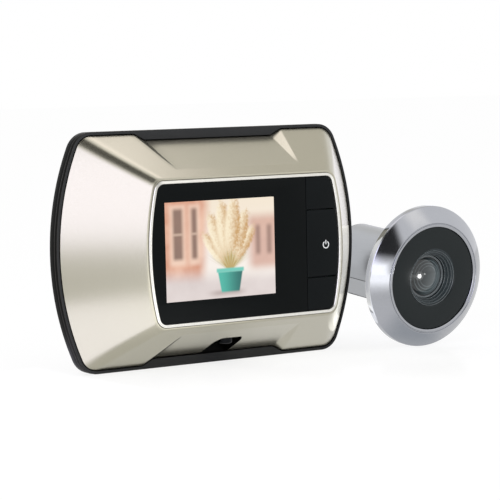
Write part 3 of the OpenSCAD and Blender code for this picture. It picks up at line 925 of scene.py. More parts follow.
def at_depth(outline: np.ndarray, y: float) -> np.ndarray:
    """Flat outline of x and z, set at a depth."""
    return np.column_stack([outline[:, 0], np.full(len(outline), y), outline[:, 1]])


def plate(name: str, outlines: Sequence[np.ndarray], front: float, back: float,
          bevel: float) -> Piece:
    """Flat plate with round edges, and holes where an outline lies inside another.

    Args:
        name: The piece's name.
        outlines: Closed outlines of x and z, in millimetres.
        front: Depth of its front face.
        back: Depth of its back face.
        bevel: Radius of its edges.

    Returns:
        The piece.
    """
    curve = bpy.data.curves.new(name, "CURVE")
    curve.dimensions = "2D"
    curve.fill_mode = "BOTH"
    curve.extrude = ((back - front) / 2 - bevel) * MM
    curve.bevel_depth = bevel * MM
    curve.bevel_resolution = 3
    curve.offset = -bevel * MM
    for outline in outlines:
        spline = curve.splines.new("POLY")
        spline.points.add(len(outline) - 1)
        flat = np.column_stack([outline * MM, np.zeros(len(outline)), np.ones(len(outline))])
        spline.points.foreach_set("co", flat.ravel())
        spline.use_cyclic_u = True
    drawn = linked(name + ".drawn", curve)
    graph = bpy.context.evaluated_depsgraph_get()
    mesh = bpy.data.meshes.new_from_object(drawn.evaluated_get(graph))
    bpy.data.objects.remove(drawn)
    obj = linked(name, mesh)
    shift(obj, (0, (front + back) / 2, 0), math.pi / 2, "X")
    tidy_mesh(mesh, SHARP, True)
    return obj


def joined(pieces: Sequence[Piece]) -> Piece:
    """Joins pieces into the first one.

    Args:
        pieces: The pieces.

    Returns:
        The first piece, with all their meshes.
    """
    bm = bmesh.new()
    for obj in pieces:
        bm.from_mesh(obj.data)
    bm.to_mesh(pieces[0].data)
    bm.free()
    for obj in pieces[1:]:
        bpy.data.objects.remove(obj)
    return pieces[0]


def block(name: str, x: Limits, y: Limits, z: Limits, r: float = 0.0) -> Piece:
    """Box between limits, with round upright corners when seen along Y."""
    outline = oblong(x, z, r, 4)
    return loft(name, [at_depth(outline, depth) for depth in y], ring=False, caps=True)


def carve(base: Piece, tools: Sequence[Piece], union: bool = False) -> Piece:
    """Cuts tools out of a piece, or adds them to it.

    Args:
        base: The piece.
        tools: The tools, which are used up.
        union: Whether they are added.

    Returns:
        The same piece.
    """
    for tool in tools:
        cut = base.modifiers.new("cut", "BOOLEAN")
        cut.operation = "UNION" if union else "DIFFERENCE"
        cut.solver = "EXACT"
        cut.object = tool
    settle(base)
    for tool in tools:
        bpy.data.objects.remove(tool)
    return base


@dataclass(frozen=True)
class Spindle:
    """An axis that pieces are turned about, along Y or leaning back from it."""

    x: float
    y: float
    z: float
    steps: int = 128
    lean: float = 0.0

    def ring(self, r: Union[float, np.ndarray], along: Union[float, np.ndarray]) -> np.ndarray:
        """Points of one turn; radius and distance may differ from point to point."""
        return self.put(self.loop(r, along))

    def loop(self, r: Union[float, np.ndarray], along: Union[float, np.ndarray]) -> np.ndarray:
        """Points of one turn in the axis's own frame."""
        turn = self.turns()
        return np.column_stack([r * np.cos(turn), along * np.ones(self.steps), r * np.sin(turn)])

    def put(self, points: np.ndarray) -> np.ndarray:
        """Moves points from the axis's own frame to its place.

        Args:
            points: The points.

        Returns:
            The moved points.
        """
        c, s = math.cos(math.radians(self.lean)), math.sin(math.radians(self.lean))
        x, y, z = points.T
        return np.column_stack([self.x + x, self.y + c * y - s * z, self.z + s * y + c * z])

    def turns(self) -> np.ndarray:
        """Angles of the points of one turn."""
        return np.linspace(0, 2 * math.pi, self.steps, endpoint=False)

    def turned(self, name: str, corners: Profile, steps: int = 5, sharp: float = SHARP) -> Piece:
        """Ring turned from a closed profile of radius, distance and corner radius."""
        loops = [self.ring(r, along) for r, along in rounded(corners, steps)]
        return loft(name, loops, sharp=sharp)

    def disc(self, name: str, profile: Sequence[Pair], sharp: float = SHARP) -> Piece:
        """Solid turned from an open profile of radius and distance, with end faces."""
        loops = [self.ring(r, along) for r, along in profile]
        return loft(name, loops, ring=False, caps=True, sharp=sharp)

    def rod(self, name: str, r: float, ends: Limits) -> Piece:
        """Plain round rod between two distances along the axis."""
        return self.disc(name, [(r, along) for along in ends])


class Finishes:
    """The finishes of the object: one for each slot, and a few for its finer pieces."""

    def __init__(self, picture: StreetPicture) -> None:
        """Makes every material.

        Args:
            picture: The picture on the screen.
        """
        looks: dict[str, Finish] = {
            "champagne_lacquer": Lacquer(rgb(184, 180, 163), rgb(190, 186, 169)),
            "bright_rim": Lacquer(rgb(240, 238, 232), rgb(234, 232, 226), metallic=0.85),
            "window_black": Plastic(
                rgb(13, 17, 18), rgb(17, 21, 22), roughness=0.2,
                grain_scale=200.0, grain_mm=0.0, specular=0.08),
            "lit_screen": picture,
            "key_black": Plastic(
                rgb(16, 20, 22), rgb(20, 25, 27), roughness=0.26,
                grain_scale=2600.0, grain_mm=0.002, specular=0.1),
            "case_black": Plastic(
                rgb(13, 13, 12), rgb(18, 18, 17), roughness=0.3,
                grain_scale=2600.0, grain_mm=0.004, specular=0.03),
            # The frame's sides get painted shade, darker than its front face.
            "frame_black": SideShadedPlastic(
                rgb(66, 67, 69), rgb(74, 75, 77), roughness=0.3,
                grain_scale=2600.0, grain_mm=0.004, specular=0.04),
            # Grey of the painted highlights along the frame's edges.
            "highlight_grey": Plastic(
                rgb(60, 58, 54), rgb(76, 73, 68), roughness=0.35,
                grain_scale=1200.0, grain_mm=0.002, specular=0.2),
            # The white mark glows: painted light, brighter than the lamps make it.
            "mark_white": Plastic(
                rgb(244, 246, 248), rgb(234, 236, 238), roughness=0.5,
                grain_scale=2500.0, grain_mm=0.002, glow=0.45),
            "door_black": Plastic(
                rgb(26, 26, 27), rgb(34, 34, 35), roughness=0.42,
                grain_scale=2600.0),
            "zinc_steel": Metal(
                rgb(196, 198, 201), rgb(170, 173, 177), roughness=0.3,
                lines=Grain.ALONG_Z, spread=0.12, relief_mm=0.003),
            "sheet_metal": Metal(
                rgb(190, 192, 196), rgb(160, 163, 168), roughness=0.34,
                lines=Grain.ALONG_X, spread=0.1),
            "display_glass": Glass(rgb(60, 66, 72), rgb(80, 88, 96), alpha=1.0, roughness=0.12),
            "silicone_grey": Plastic(
                rgb(92, 95, 99), rgb(106, 109, 113), roughness=0.7,
                grain_scale=900.0),
            "board_green": Board(),
            "chip_black": Plastic(
                rgb(32, 33, 35), rgb(44, 45, 48), roughness=0.55,
                grain_scale=3000.0),
            "socket_ivory": Plastic(
                rgb(222, 216, 202), rgb(206, 199, 184), roughness=0.5,
                grain_mm=0.01),
            "screw_steel": Metal(rgb(176, 178, 182), rgb(138, 140, 145), roughness=0.28),
            "cell_wrap": CellSleeve(),
            "contact_brass": Metal(rgb(214, 198, 158), rgb(186, 166, 122), roughness=0.26),
            "dark_screw": Metal(rgb(32, 33, 35), rgb(22, 23, 25), roughness=0.4),
            "flange_chrome": Metal(
                rgb(184, 186, 192), rgb(174, 176, 182), roughness=0.1,
                spread=0.03),
            "gasket_foam": Plastic(
                rgb(34, 35, 37), rgb(54, 55, 58), roughness=0.85,
                grain_scale=1800.0, grain_mm=0.12),
            "barrel_satin": Metal(
                rgb(186, 188, 192), rgb(172, 175, 180), roughness=0.36,
                lines=Grain.ALONG_Y, relief_mm=0.002),
            # The smoked disc gets painted light, paler inside its dish.
            "smoked_disc": DishLitPlastic(
                rgb(29, 36, 38), rgb(37, 44, 46), roughness=0.3,
                grain_scale=2000.0, grain_mm=0.002, specular=0.25),
            "lens_ring_dark": Plastic(
                rgb(114, 121, 125), rgb(140, 147, 151), roughness=0.26,
                grain_mm=0.004),
            # The lens glass carries painted light and painted rings of light.
            "lens_glass": DomeGlass(rgb(28, 36, 39), rgb(160, 174, 179)),
            "lens_barrel_black": Plastic(
                rgb(34, 36, 38), rgb(48, 50, 52), roughness=0.42,
                grain_scale=2500.0, grain_mm=0.01),
        }
        self._made = {slot: look.make(slot) for slot, look in looks.items()}

    def __getitem__(self, slot: str) -> bpy.types.Material:
        """The material of a slot."""
        return self._made[slot]

    def dress(self, obj: Piece, body: str, slot: str, *nodes: str, look: str = "") -> None:
        """Gives a piece its body and finish, and hides the solids it stands for.

        Args:
            obj: The piece.
            body: The body it rides on.
            slot: Its slot in the record.
            nodes: The solids it stands for.
            look: Its finish, where that isn't the slot's own.
        """
        obj.data.materials.clear()
        obj.data.materials.append(self[look or slot])
        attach(obj, body)
        if nodes:
            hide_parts(*nodes)
        LOG.info("%s rides on %s as %s", obj.name, body, slot)

    def coat_solids(self) -> None:
        """Puts each solid's finish on the solids that still show."""
        for row in frame["record"]["subparts"]:
            solid = frame["nodes"][row["node"]]
            solid.data.materials.clear()
            solid.data.materials.append(self[row["material_slot"]])


def bowed(w: float, h: float, bow: float, r: float, top: Optional[np.ndarray] = None,
          bottom: Optional[np.ndarray] = None, corner: int = 10, side: int = 30) -> np.ndarray:
    """Outline with level top and bottom, bowed sides and round corners.

    Args:
        w: Its width.
        h: Its height.
        bow: Radius of the sides.
        r: Radius of the corners.
        top: Places along the top edge from right to left, or None for even ones.
        bottom: Places along the bottom edge from left to right, or None for even ones.
        corner: Steps of a corner.
        side: Steps of a side.

    Returns:
        Points of x and z, from the lower right corner round by the top.
    """
    k, zc = w / 2 - bow, h / 2 - r
    xc = k + math.sqrt((bow - r) ** 2 - zc ** 2)
    lean = math.degrees(math.asin(zc / (bow - r)))
    even = np.linspace(0.9, -0.9, 13) * xc
    top = even if top is None else top
    bottom = -even if bottom is None else bottom
    right = np.vstack([
        arc(xc, -zc, r, -90, -lean, corner),
        arc(k, 0, bow, -lean, lean, side)[1:-1],
        arc(xc, zc, r, lean, 90, corner),
    ])
    left = (right * [-1, 1])[::-1]
    return np.vstack([
        right,
        np.column_stack([top, np.full(len(top), h / 2)]),
        left,
        np.column_stack([bottom, np.full(len(bottom), -h / 2)]),
    ])


def corner_x(w: float, h: float, bow: float, r: float) -> float:
    """Where the level edges of a bowed outline end."""
    return w / 2 - bow + math.sqrt((bow - r) ** 2 - (h / 2 - r) ** 2)


@dataclass
class Monitor:
    """Bowed shell, black frame, rear case and battery doors of the indoor unit."""

    # Outline of the frame, depths from the door and outlines at the window.
    frame_w: float = 136.0
    frame_h: float = 90.0
    bow: float = BOW_R
    frame_r: float = 8.5
    lip: float = 1.5
    y_window: float = WINDOW_Y
    y_edge: float = -9.2
    y_case: float = -7.2
    y_taper: float = -3.8
    y_back: float = -0.5
    front_w: float = 88.9
    front_h: float = 55.4
    front_r: float = 4.95
    rim_w: float = 87.4
    rim_h: float = 53.9
    rim_r: float = 4.2
    # Scoops in the top and the bottom, and the notch for the lock screw.
    scoop_top: float = 68.5
    scoop_bottom: float = 66.0
    scoop_d: float = 2.4
    scoop_draft: float = 5.8
    scoop_round: float = 0.2
    tip_in: float = 6.5
    tip_d: float = 4.5
    tip_half: float = 0.5
    notch_r: float = 6.4
    notch_y: float = LOCK_Y
    z_roof: float = -34.5
    # Shell skin, by columns across each part of a level edge; the notch's painted-shade lining.
    columns: int = 8
    skin_t: float = 1.0
    skin_sharp: float = 30.0
    lining_gap: float = 0.08
    lining_room: float = 0.1
    lining_t: float = 0.05
    # Rear case.
    case_in: float = 7.0
    y_inside: float = -2.9
    y_past: float = 1.0
    wall: float = 1.5
    pocket_x: float = 20.3
    pocket_z: float = 30.3
    pocket_r: float = 4.3
    y_pocket: float = -1.8
    recess_r: float = 15.0
    y_recess: float = -12.0
    bay_x: float = 34.0
    bay_half_w: float = 10.95
    bay_half_h: float = 24.75
    bay_wall: float = 1.4
    y_bay: float = -14.3
    y_rebate: float = -2.0
    bore_r: float = 2.65
    bore_mouth_r: float = 3.0
    # Battery doors.
    door_gap: float = 0.25
    door_t: float = 1.4
    rib_count: int = 5
    rib_pitch: float = 1.6
    rib_z: float = 15.0
    rib_half: float = 7.0
    rib_step: float = 0.5
    rib_w: float = 0.35

    def wedge(self, width: float, y: float) -> tuple[float, float, float]:
        """Where a scoop's end wall lies at a depth.

        Args:
            width: The scoop's width at the frame.
            y: The depth.

        Returns:
            The wall's outer and inner place, and the scoop's depth there.
        """
        tip = width / 2 - self.tip_in
        start = self.y_window + self.tip_d
        share = float(np.clip((y - start) / (self.y_edge - start), 0, 1))
        outer = tip + self.tip_half + (self.tip_in - self.tip_half) * share
        inner = tip - self.tip_half + (self.tip_in - self.scoop_draft + self.tip_half) * share
        return outer, inner, self.scoop_d * share

    def level_edge(self, width: float, y: float, end: float,
                   middle: float) -> tuple[np.ndarray, np.ndarray]:
        """Places along half a level edge and how far the scoop sinks them.

        Args:
            width: The scoop's width at the frame.
            y: The depth.
            end: Where the edge meets the corner.
            middle: Where the half edge stops at the middle.

        Returns:
            Places from the corner to the middle, and the sink of each.
        """
        outer, inner, depth = self.wedge(width, y)
        n = self.columns
        places = np.concatenate([
            np.linspace(end, outer, n + 1)[1:],
            np.linspace(outer, inner, n + 3)[1:],
            np.linspace(inner, middle, n + 1)[1:],
        ])
        share = np.clip((outer - places) / (outer - inner), 0, 1)
        return places, depth * self.ramp(share)

    def ramp(self, share: np.ndarray) -> np.ndarray:
        """Flat slope from 0 to 1 with round ends.

        Args:
            share: Places along the slope, 0 to 1.

        Returns:
            Its height at each place.
        """
        a = self.scoop_round
        slope = 1 / (1 - a)
        curve = slope / (2 * a)
        rise = np.where(share < a, curve * share ** 2, slope * (share - a / 2))
        return np.where(share > 1 - a, 1 - curve * (1 - share) ** 2, rise)

    def slope(self, y: float) -> float:
        """Share of the way from the window to the frame's edge at a depth."""
        return min((y - self.y_window) / (self.y_edge - self.y_window), 1.0)

    def low_face(self, y: float) -> float:
        """Height of the bottom scoop's floor at a depth."""
        half = self.front_h / 2 + (self.frame_h / 2 - self.lip - self.front_h / 2) * self.slope(y)
        return self.wedge(self.scoop_bottom, y)[2] - half

    def notch_front(self) -> float:
        """Depth at which the notch's roof meets the shell."""
        depths = np.linspace(self.y_window, self.y_edge, 500)
        return float(np.interp(-self.z_roof, [-self.low_face(y) for y in depths], depths))

    def notch_half(self, y: float) -> float:
        """Half the width of the lock notch at a depth."""
        ahead = max(self.notch_y - y, 0.0)
        return math.sqrt(max(self.notch_r ** 2 - ahead ** 2, 0.0))

    def row(self, y: float, w: float, h: float, bow: float, r: float, scoop_y: float,
            notch: float) -> np.ndarray:
        """One loop of the shell.

        Args:
            y: Its depth.
            w: Width of its outline.
            h: Height of its outline.
            bow: Radius of its sides.
            r: Radius of its corners.
            scoop_y: Depth at which the scoops are taken.
            notch: Half the width of the notch there.

        Returns:
            The loop's points.
        """
        end = corner_x(w, h, bow, r)
        high, high_sink = self.level_edge(self.scoop_top, scoop_y, end, 0.0)
        low, low_sink = self.level_edge(self.scoop_bottom, scoop_y, end, notch)
        top = np.concatenate([high, -high[-2::-1]])
        bottom = np.concatenate([-low, low[::-1]])
        loop = at_depth(bowed(w, h, bow, r, top, bottom), y)
        sink_top = np.concatenate([high_sink, high_sink[-2::-1]])
        sink_low = np.concatenate([low_sink, low_sink[::-1]])
        side = (len(loop) - len(top) - len(bottom)) // 2
        loop[side:side + len(top), 2] -= sink_top
        loop[len(loop) - len(bottom):, 2] += sink_low
        return loop

    def shell_row(self, y: float) -> np.ndarray:
        """Loop of the sloping shell at a depth.

        Args:
            y: The depth.

        Returns:
            The loop's points.
        """
        t = self.slope(y)
        w = self.front_w + (self.frame_w - 2 * self.lip - self.front_w) * t
        h = self.front_h + (self.frame_h - 2 * self.lip - self.front_h) * t
        r = self.front_r + (self.frame_r - self.lip - self.front_r) * t
        return self.row(y, w, h, self.bow - self.lip * t, r, y, self.notch_half(y))

    def build_shell(self) -> Piece:
        """Makes the shell with its land, scoops and lock notch.

        Returns:
            The shell.
        """
        y0 = self.y_window
        bend = 1 - np.cos(np.radians(np.linspace(0, 90, 12)))
        depths = np.concatenate([
            np.linspace(y0 + 0.25, self.y_edge, 36),
            self.notch_y - self.notch_r * (1 - bend),
            [y0 + self.tip_d, self.notch_front(), self.y_edge + 0.7, self.y_case - 0.5],
        ])
        start = [
            (y0 + deep, self.rim_w + 2 * out, self.rim_h + 2 * out, self.rim_r + out)
            for deep, out in ((1.5, 0.12), (0.12, 0.12), (0.0, 0.22))]
        start += [
            (y0 + deep, self.front_w - 2 * into, self.front_h - 2 * into, self.front_r - into)
            for deep, into in ((0.0, 0.25), (0.06, 0.08))]
        loops = [self.row(y, w, h, self.bow, r, y0, 0.0) for y, w, h, r in start]
        loops += [self.shell_row(float(y)) for y in np.unique(np.round(depths, 3))]
        size = len(loops[0])
        # The middle face of the bottom edge is left out where the notch is.
        half_edge = 3 * self.columns + 2
        notch = size - half_edge - 1
        faces: list[Sequence[int]] = []
        for i in range(len(loops) - 1):
            ahead = loops[i + 1][0][1] <= self.notch_front() + 1e-3
            for k in range(size):
                m = (k + 1) % size
                if k != notch or ahead:
                    near, far = i * size, (i + 1) * size
                    faces.append((near + k, far + k, far + m, near + m))
        skin = piece_from("shell_skin", np.vstack(loops), faces, self.skin_sharp, outward=False)
        return thickened(skin, self.skin_t, -1.0, self.skin_sharp, outward=False)

    def build_notch_shade(self) -> Piece:
        """Makes the dark lining of the lock notch, which paints the shade inside it.

        Returns:
            The lining.
        """
        r, room = self.notch_r - self.lining_gap, self.lining_room
        depths = np.linspace(self.y_case - 0.35, self.notch_front() + 2 * room, 60)
        ahead = np.minimum(depths - self.notch_y, 0.0)
        left = np.column_stack([-np.sqrt(r ** 2 - ahead ** 2), depths])
        plan = np.vstack([left, left[::-1] * [-1, 1]])
        low = np.array([self.low_face(y) + room for y in plan[:, 1]])
        levels = [low + (self.z_roof - room - low) * share for share in (0.0, 0.5, 1.0)]
        verts = np.vstack([np.column_stack([plan, z]) for z in levels])
        size = len(plan)
        faces: list[Sequence[int]] = [range(2 * size, 3 * size)]
        for low_row, high_row in ((0, size), (size, 2 * size)):
            for k in range(size - 1):
                faces.append((low_row + k, low_row + k + 1, high_row + k + 1, high_row + k))
        return thickened(piece_from("notch_shade_lining", verts, faces), self.lining_t, 0.0)

    def build_frame(self) -> Piece:
        """Makes the black ring that fills the ends of the scoops.

        Returns:
            The ring.
        """
        edge, case = self.y_edge, self.y_case
        inner = ((case - 0.1, 0.36), (edge + 0.25, 0.36), (edge + 0.05, 0.42), (edge, 0.55))
        outer = ((edge, 0.34), (edge + 0.04, 0.19), (edge + 0.15, 0.06), (edge + 0.32, 0.0),
                 (case - 0.28, 0.0), (case - 0.1, 0.12))
        loops = [self.frame_row(y, self.lip - grow, edge) for y, grow in inner]
        loops += [self.frame_row(y, into, self.y_window) for y, into in outer]
        return loft("frame_ring", loops, sharp=self.skin_sharp)

    def frame_row(self, y: float, into: float, scoop_y: float) -> np.ndarray:
        """Loop of the frame, drawn in by a distance, with the scoops of a depth."""
        return self.row(y, self.frame_w - 2 * into, self.frame_h - 2 * into, self.bow - into,
                        self.frame_r - into, scoop_y, 0.2)

    def build_edge_highlights(self) -> Piece:
        """Makes the fine grey lines along the frame's edge and its seam: painted highlights.

        Returns:
            The lines.
        """
        lines = []
        for y, into, half in ((self.y_edge + 0.1, 0.1, 0.1), (self.y_case - 0.05, 0.06, 0.12)):
            corners = ((y, into - half), (y + half, into), (y, into + half), (y - half, into))
            loops = [at_depth(self.outline(deep), at) for at, deep in corners]
            lines.append(loft("edge_highlight_lines", loops, sharp=80.0))
        return joined(lines)

    def outline(self, into: float) -> np.ndarray:
        """Outline of the case, drawn in by a distance."""
        return bowed(self.frame_w - 2 * into, self.frame_h - 2 * into, self.bow - into,
                     max(self.frame_r - into, 1.0))

    def build_case(self) -> Piece:
        """Makes the rear case with its bays, bracket pocket and nut recess.

        Returns:
            The case.
        """
        front, taper, back = self.y_case, self.y_taper, self.y_back
        profile = [
            (self.y_inside, self.case_in), (front, self.case_in), (front, 0.2),
            (front + 0.15, 0.03), (front + 0.4, 0.0), (taper - 0.3, 0.0), (taper + 0.05, 0.15),
            (taper + 0.4, 0.65), (back - 0.5, 4.3), (back - 0.15, 4.85), (back, 5.4)]
        loops = [at_depth(self.outline(into), y) for y, into in profile]
        case = loft("case_back", loops, ring=False, caps=True, sharp=self.skin_sharp)
        return carve(carve(case, self.case_walls(), union=True), self.case_cuts())

    def bay(self, side: Side, out: float) -> tuple[Limits, Limits]:
        """Limits of a battery bay along X and along Z, grown by a distance."""
        middle = side.value * self.bay_x
        return about(middle, self.bay_half_w + out), about(0, self.bay_half_h + out)

    def case_walls(self) -> list[Piece]:
        """Walls around the bracket pocket, the nut recess and the bays.

        Returns:
            The walls, as full blocks.
        """
        inside, wall = self.y_inside + 0.1, self.wall
        walls = [block("pad", about(0, self.pocket_x + wall), (self.y_pocket - wall, inside),
                       about(0, self.pocket_z + wall))]
        walls.append(Spindle(0, 0, 0, 96).rod("cup", self.recess_r + wall,
                                              (self.y_recess - wall, inside)))
        for side in Side:
            x, z = self.bay(side, self.bay_wall)
            walls.append(block("bay", x, (self.y_bay - self.bay_wall, inside), z))
        return walls

    def case_cuts(self) -> list[Piece]:
        """Rooms, slots and bores of the rear case.

        Returns:
            The pieces to cut out of it.
        """
        past = self.y_past
        cuts = [block("pocket", about(0, self.pocket_x), (self.y_pocket, past),
                      about(0, self.pocket_z), self.pocket_r)]
        cuts.append(Spindle(0, 0, 0, 96).rod("recess", self.recess_r, (self.y_recess, past)))
        cuts.append(block("ribbon_slot", (-8.5, 8.5), (-15.0, -11.0), (-6.0, 0.0), 0.6))
        slot_y = (-5.0, -1.0)
        for side in Side:
            hook_x = about(side.value * HOOK_X, HOOK_W / 2 + 0.3)
            cuts.append(block("hook_slot", hook_x, slot_y, (12.6, 20.1)))
        cuts.append(block("tab_slot", (-7.3, 7.3), slot_y, (-31.7, -23.2)))
        for name, out, y, r in (("bay_room", 0.0, self.y_bay, 0.0),
                                ("rebate", self.bay_wall, self.y_rebate, 1.2)):
            for side in Side:
                x, z = self.bay(side, out)
                cuts.append(block(name, x, (y, past), z, r))
        bore = [(self.bore_r, self.y_inside), (self.bore_r, self.y_back - 0.25),
                (self.bore_mouth_r, self.y_back + 0.1), (self.bore_mouth_r, past)]
        for x in (-CASE_SCREW_X, CASE_SCREW_X):
            for z in (-CASE_SCREW_Z, CASE_SCREW_Z):
                cuts.append(Spindle(x, 0, z, 48).disc("bore", bore))
        return cuts

    def build_door(self, side: Side) -> Piece:
        """Makes a battery door with its finger groove and grip ribs.

        Args:
            side: The left or the right door.

        Returns:
            The door.
        """
        x, back = side.value * self.bay_x, self.y_back
        edge = oblong(*self.bay(side, self.bay_wall - self.door_gap), 1.0)
        door = plate("door_" + side.name.lower(), [edge], back - self.door_t, back, 0.25)
        end = [(0.2, 6.05), (1.2, 5.6), (2.0, 4.8)]
        groove = Spindle(0, 0, 0, 48).disc("groove", [(r, -far) for r, far in end] + end[::-1])
        shift(groove, (x, back + 1.2, -19.9), math.pi / 2, "Z")
        carve(door, [groove])
        ribs = []
        for k in range(self.rib_count):
            bar = oblong(about(x, self.rib_half - self.rib_step * k),
                         about(self.rib_z + self.rib_pitch * k, self.rib_w), self.rib_w - 0.01)
            ribs.append(plate(f"rib{k}", [bar], back - 0.3, back + 0.22, 0.12))
        return joined([door, *ribs])

    def dress_up(self, looks: Finishes) -> None:
        """Builds the pieces and gives them their finishes.

        Args:
            looks: The finishes.
        """
        looks.dress(self.build_shell(), "monitor", "champagne_lacquer", "front_shell")
        # A dark lining paints the shade inside the lock notch.
        looks.dress(self.build_notch_shade(), "monitor", "case_black")
        looks.dress(self.build_frame(), "monitor", "case_black", "front_frame", look="frame_black")
        # Painted highlights along the frame's edge and its seam.
        looks.dress(self.build_edge_highlights(), "monitor", "case_black", look="highlight_grey")
        looks.dress(self.build_case(), "monitor", "case_black", "rear_case")
        for side in Side:
            name = side.name.lower()
            looks.dress(self.build_door(side), name + "_door", "door_black",
                        name + "_battery_door")


@dataclass
class Window:
    """Bright rim, black window plate and the three keys."""

    w: float = 85.0
    h: float = 51.5
    bow: float = BOW_R
    r: float = 3.0
    rim: float = 1.2
    proud: float = 0.5
    y_face: float = WINDOW_Y
    y_floor: float = -32.4
    gap: float = 0.15
    key_x: float = 27.2
    key_mid_h: float = 26.0
    key_gap: float = 0.3
    key_t: float = 1.1
    key_edge: float = 0.28
    stem_r: float = 2.0
    stem_edge: float = 0.15
    stem_end: float = -30.4
    screen_x: float = SCREEN_X
    screen_z: float = SCREEN_Z
    screen_w: float = 48.96
    screen_h: float = 36.72
    mark_x: float = 36.4
    mark_z: float = -0.7
    mark_r: float = 1.3
    mark_line: float = 0.36
    mark_open: float = 32.0

    def line(self, out: float) -> np.ndarray:
        """Outline of the window, grown by a distance."""
        return bowed(self.w + 2 * out, self.h + 2 * out, self.bow, self.r + out, side=48)

    def build_rim(self) -> Piece:
        """Makes the rim, rounded on top with a shallow groove.

        Returns:
            The rim.
        """
        face, top, rim = self.y_face, self.y_face - self.proud, self.rim
        profile = [
            (0.0, self.y_floor), (0.0, face - 0.08), (0.05, top + 0.17), (0.14, top + 0.06),
            (0.27, top), (0.42, top), (0.52, top + 0.05), (rim / 2, top + 0.09),
            (0.68, top + 0.05), (0.78, top), (0.93, top), (1.06, top + 0.06), (1.15, top + 0.17),
            (rim, face - 0.05), (rim, self.y_floor)]
        return loft("rim_band", [at_depth(self.line(out), y) for out, y in profile], sharp=50.0)

    def build_plate(self) -> Piece:
        """Makes the window plate with the opening for the screen.

        Returns:
            The plate.
        """
        line = self.line(-self.gap)
        left = line[line[:, 0] < self.key_x]
        high = self.h / 2 - self.gap
        edge = np.vstack([left, [(self.key_x, -high), (self.key_x, high)]])
        edge = wound(edge, ((self.screen_x + self.key_x) / 2, 0.0))
        hole = oblong(about(self.screen_x, self.screen_w / 2),
                      about(self.screen_z, self.screen_h / 2), 0.0)
        return plate("window_plate", [edge, hole], self.y_face, self.y_floor, 0.08)

    def build_key(self, name: str, low: float, high: float, stem_z: float) -> Piece:
        """Makes one key cap with its stem.

        Args:
            name: The key's name.
            low: Its lower edge.
            high: Its upper edge.
            stem_z: Height of its stem.

        Returns:
            The key.
        """
        line = self.line(-self.key_gap)
        across, up = line.T
        edge, half = self.key_x + self.key_gap, self.h / 2
        # A point of the level edge too close to the corner would fold the round edge.
        inside = line[(across > edge + 1.0) & (up > low) & (up < high)]
        side = line[(across > edge) & (abs(up) < half - self.r - 0.2)]
        right = np.interp([low, high], side[:, 1], side[:, 0])
        extra = [(edge, max(low, self.key_gap - half)), (edge, min(high, half - self.key_gap))]
        extra += [(x, z) for x, z in zip(right, (low, high)) if abs(z) < half - self.r]
        points = np.vstack([inside, extra])
        face, back = self.y_face, self.y_face + self.key_t
        cap = plate(name, [wound(points, points.mean(0))], face, back, self.key_edge)
        stem = Spindle((self.key_x + self.w / 2) / 2, 0, stem_z, 40).disc(name + ".stem", [
            (self.stem_r, back - 0.02), (self.stem_r, self.stem_end - self.stem_edge),
            (self.stem_r - self.stem_edge, self.stem_end)])
        return joined([cap, stem])

    def build_mark(self) -> Piece:
        """Makes the inlaid power mark, an open ring with an upright bar.

        Returns:
            The mark.
        """
        out, line = self.mark_r + self.mark_line / 2, self.mark_line
        start, end = 90 + self.mark_open, 450 - self.mark_open
        ring = np.vstack([arc(0, 0, out, start, end, 40), arc(0, 0, out - line, end, start, 40)])
        bar = oblong(about(0, line / 2), (0.15, out + 0.3), 0.0)
        place = np.array([self.mark_x, self.mark_z])
        return plate("power_mark", [ring + place, bar + place],
                     self.y_face - 0.02, self.y_face + 0.04, 0.008)

    def dress_up(self, looks: Finishes) -> None:
        """Builds the pieces and gives them their finishes.

        Args:
            looks: The finishes.
        """
        looks.dress(self.build_rim(), "monitor", "bright_rim", "window_rim")
        looks.dress(self.build_plate(), "monitor", "window_black", "window_panel")
        half, step = self.key_mid_h / 2, self.key_gap / 2
        stem = (self.key_mid_h + self.h) / 4
        keys = (("upper_key", half + step, self.h, stem),
                ("power_key", step - half, half - step, 0.0),
                ("lower_key", -self.h, -half - step, -stem))
        for node, low, high, z in keys:
            key = self.build_key("cap_" + node, low, high, z)
            looks.dress(key, node, "key_black", node)
        looks.dress(self.build_mark(), "power_key", "key_black", look="mark_white")


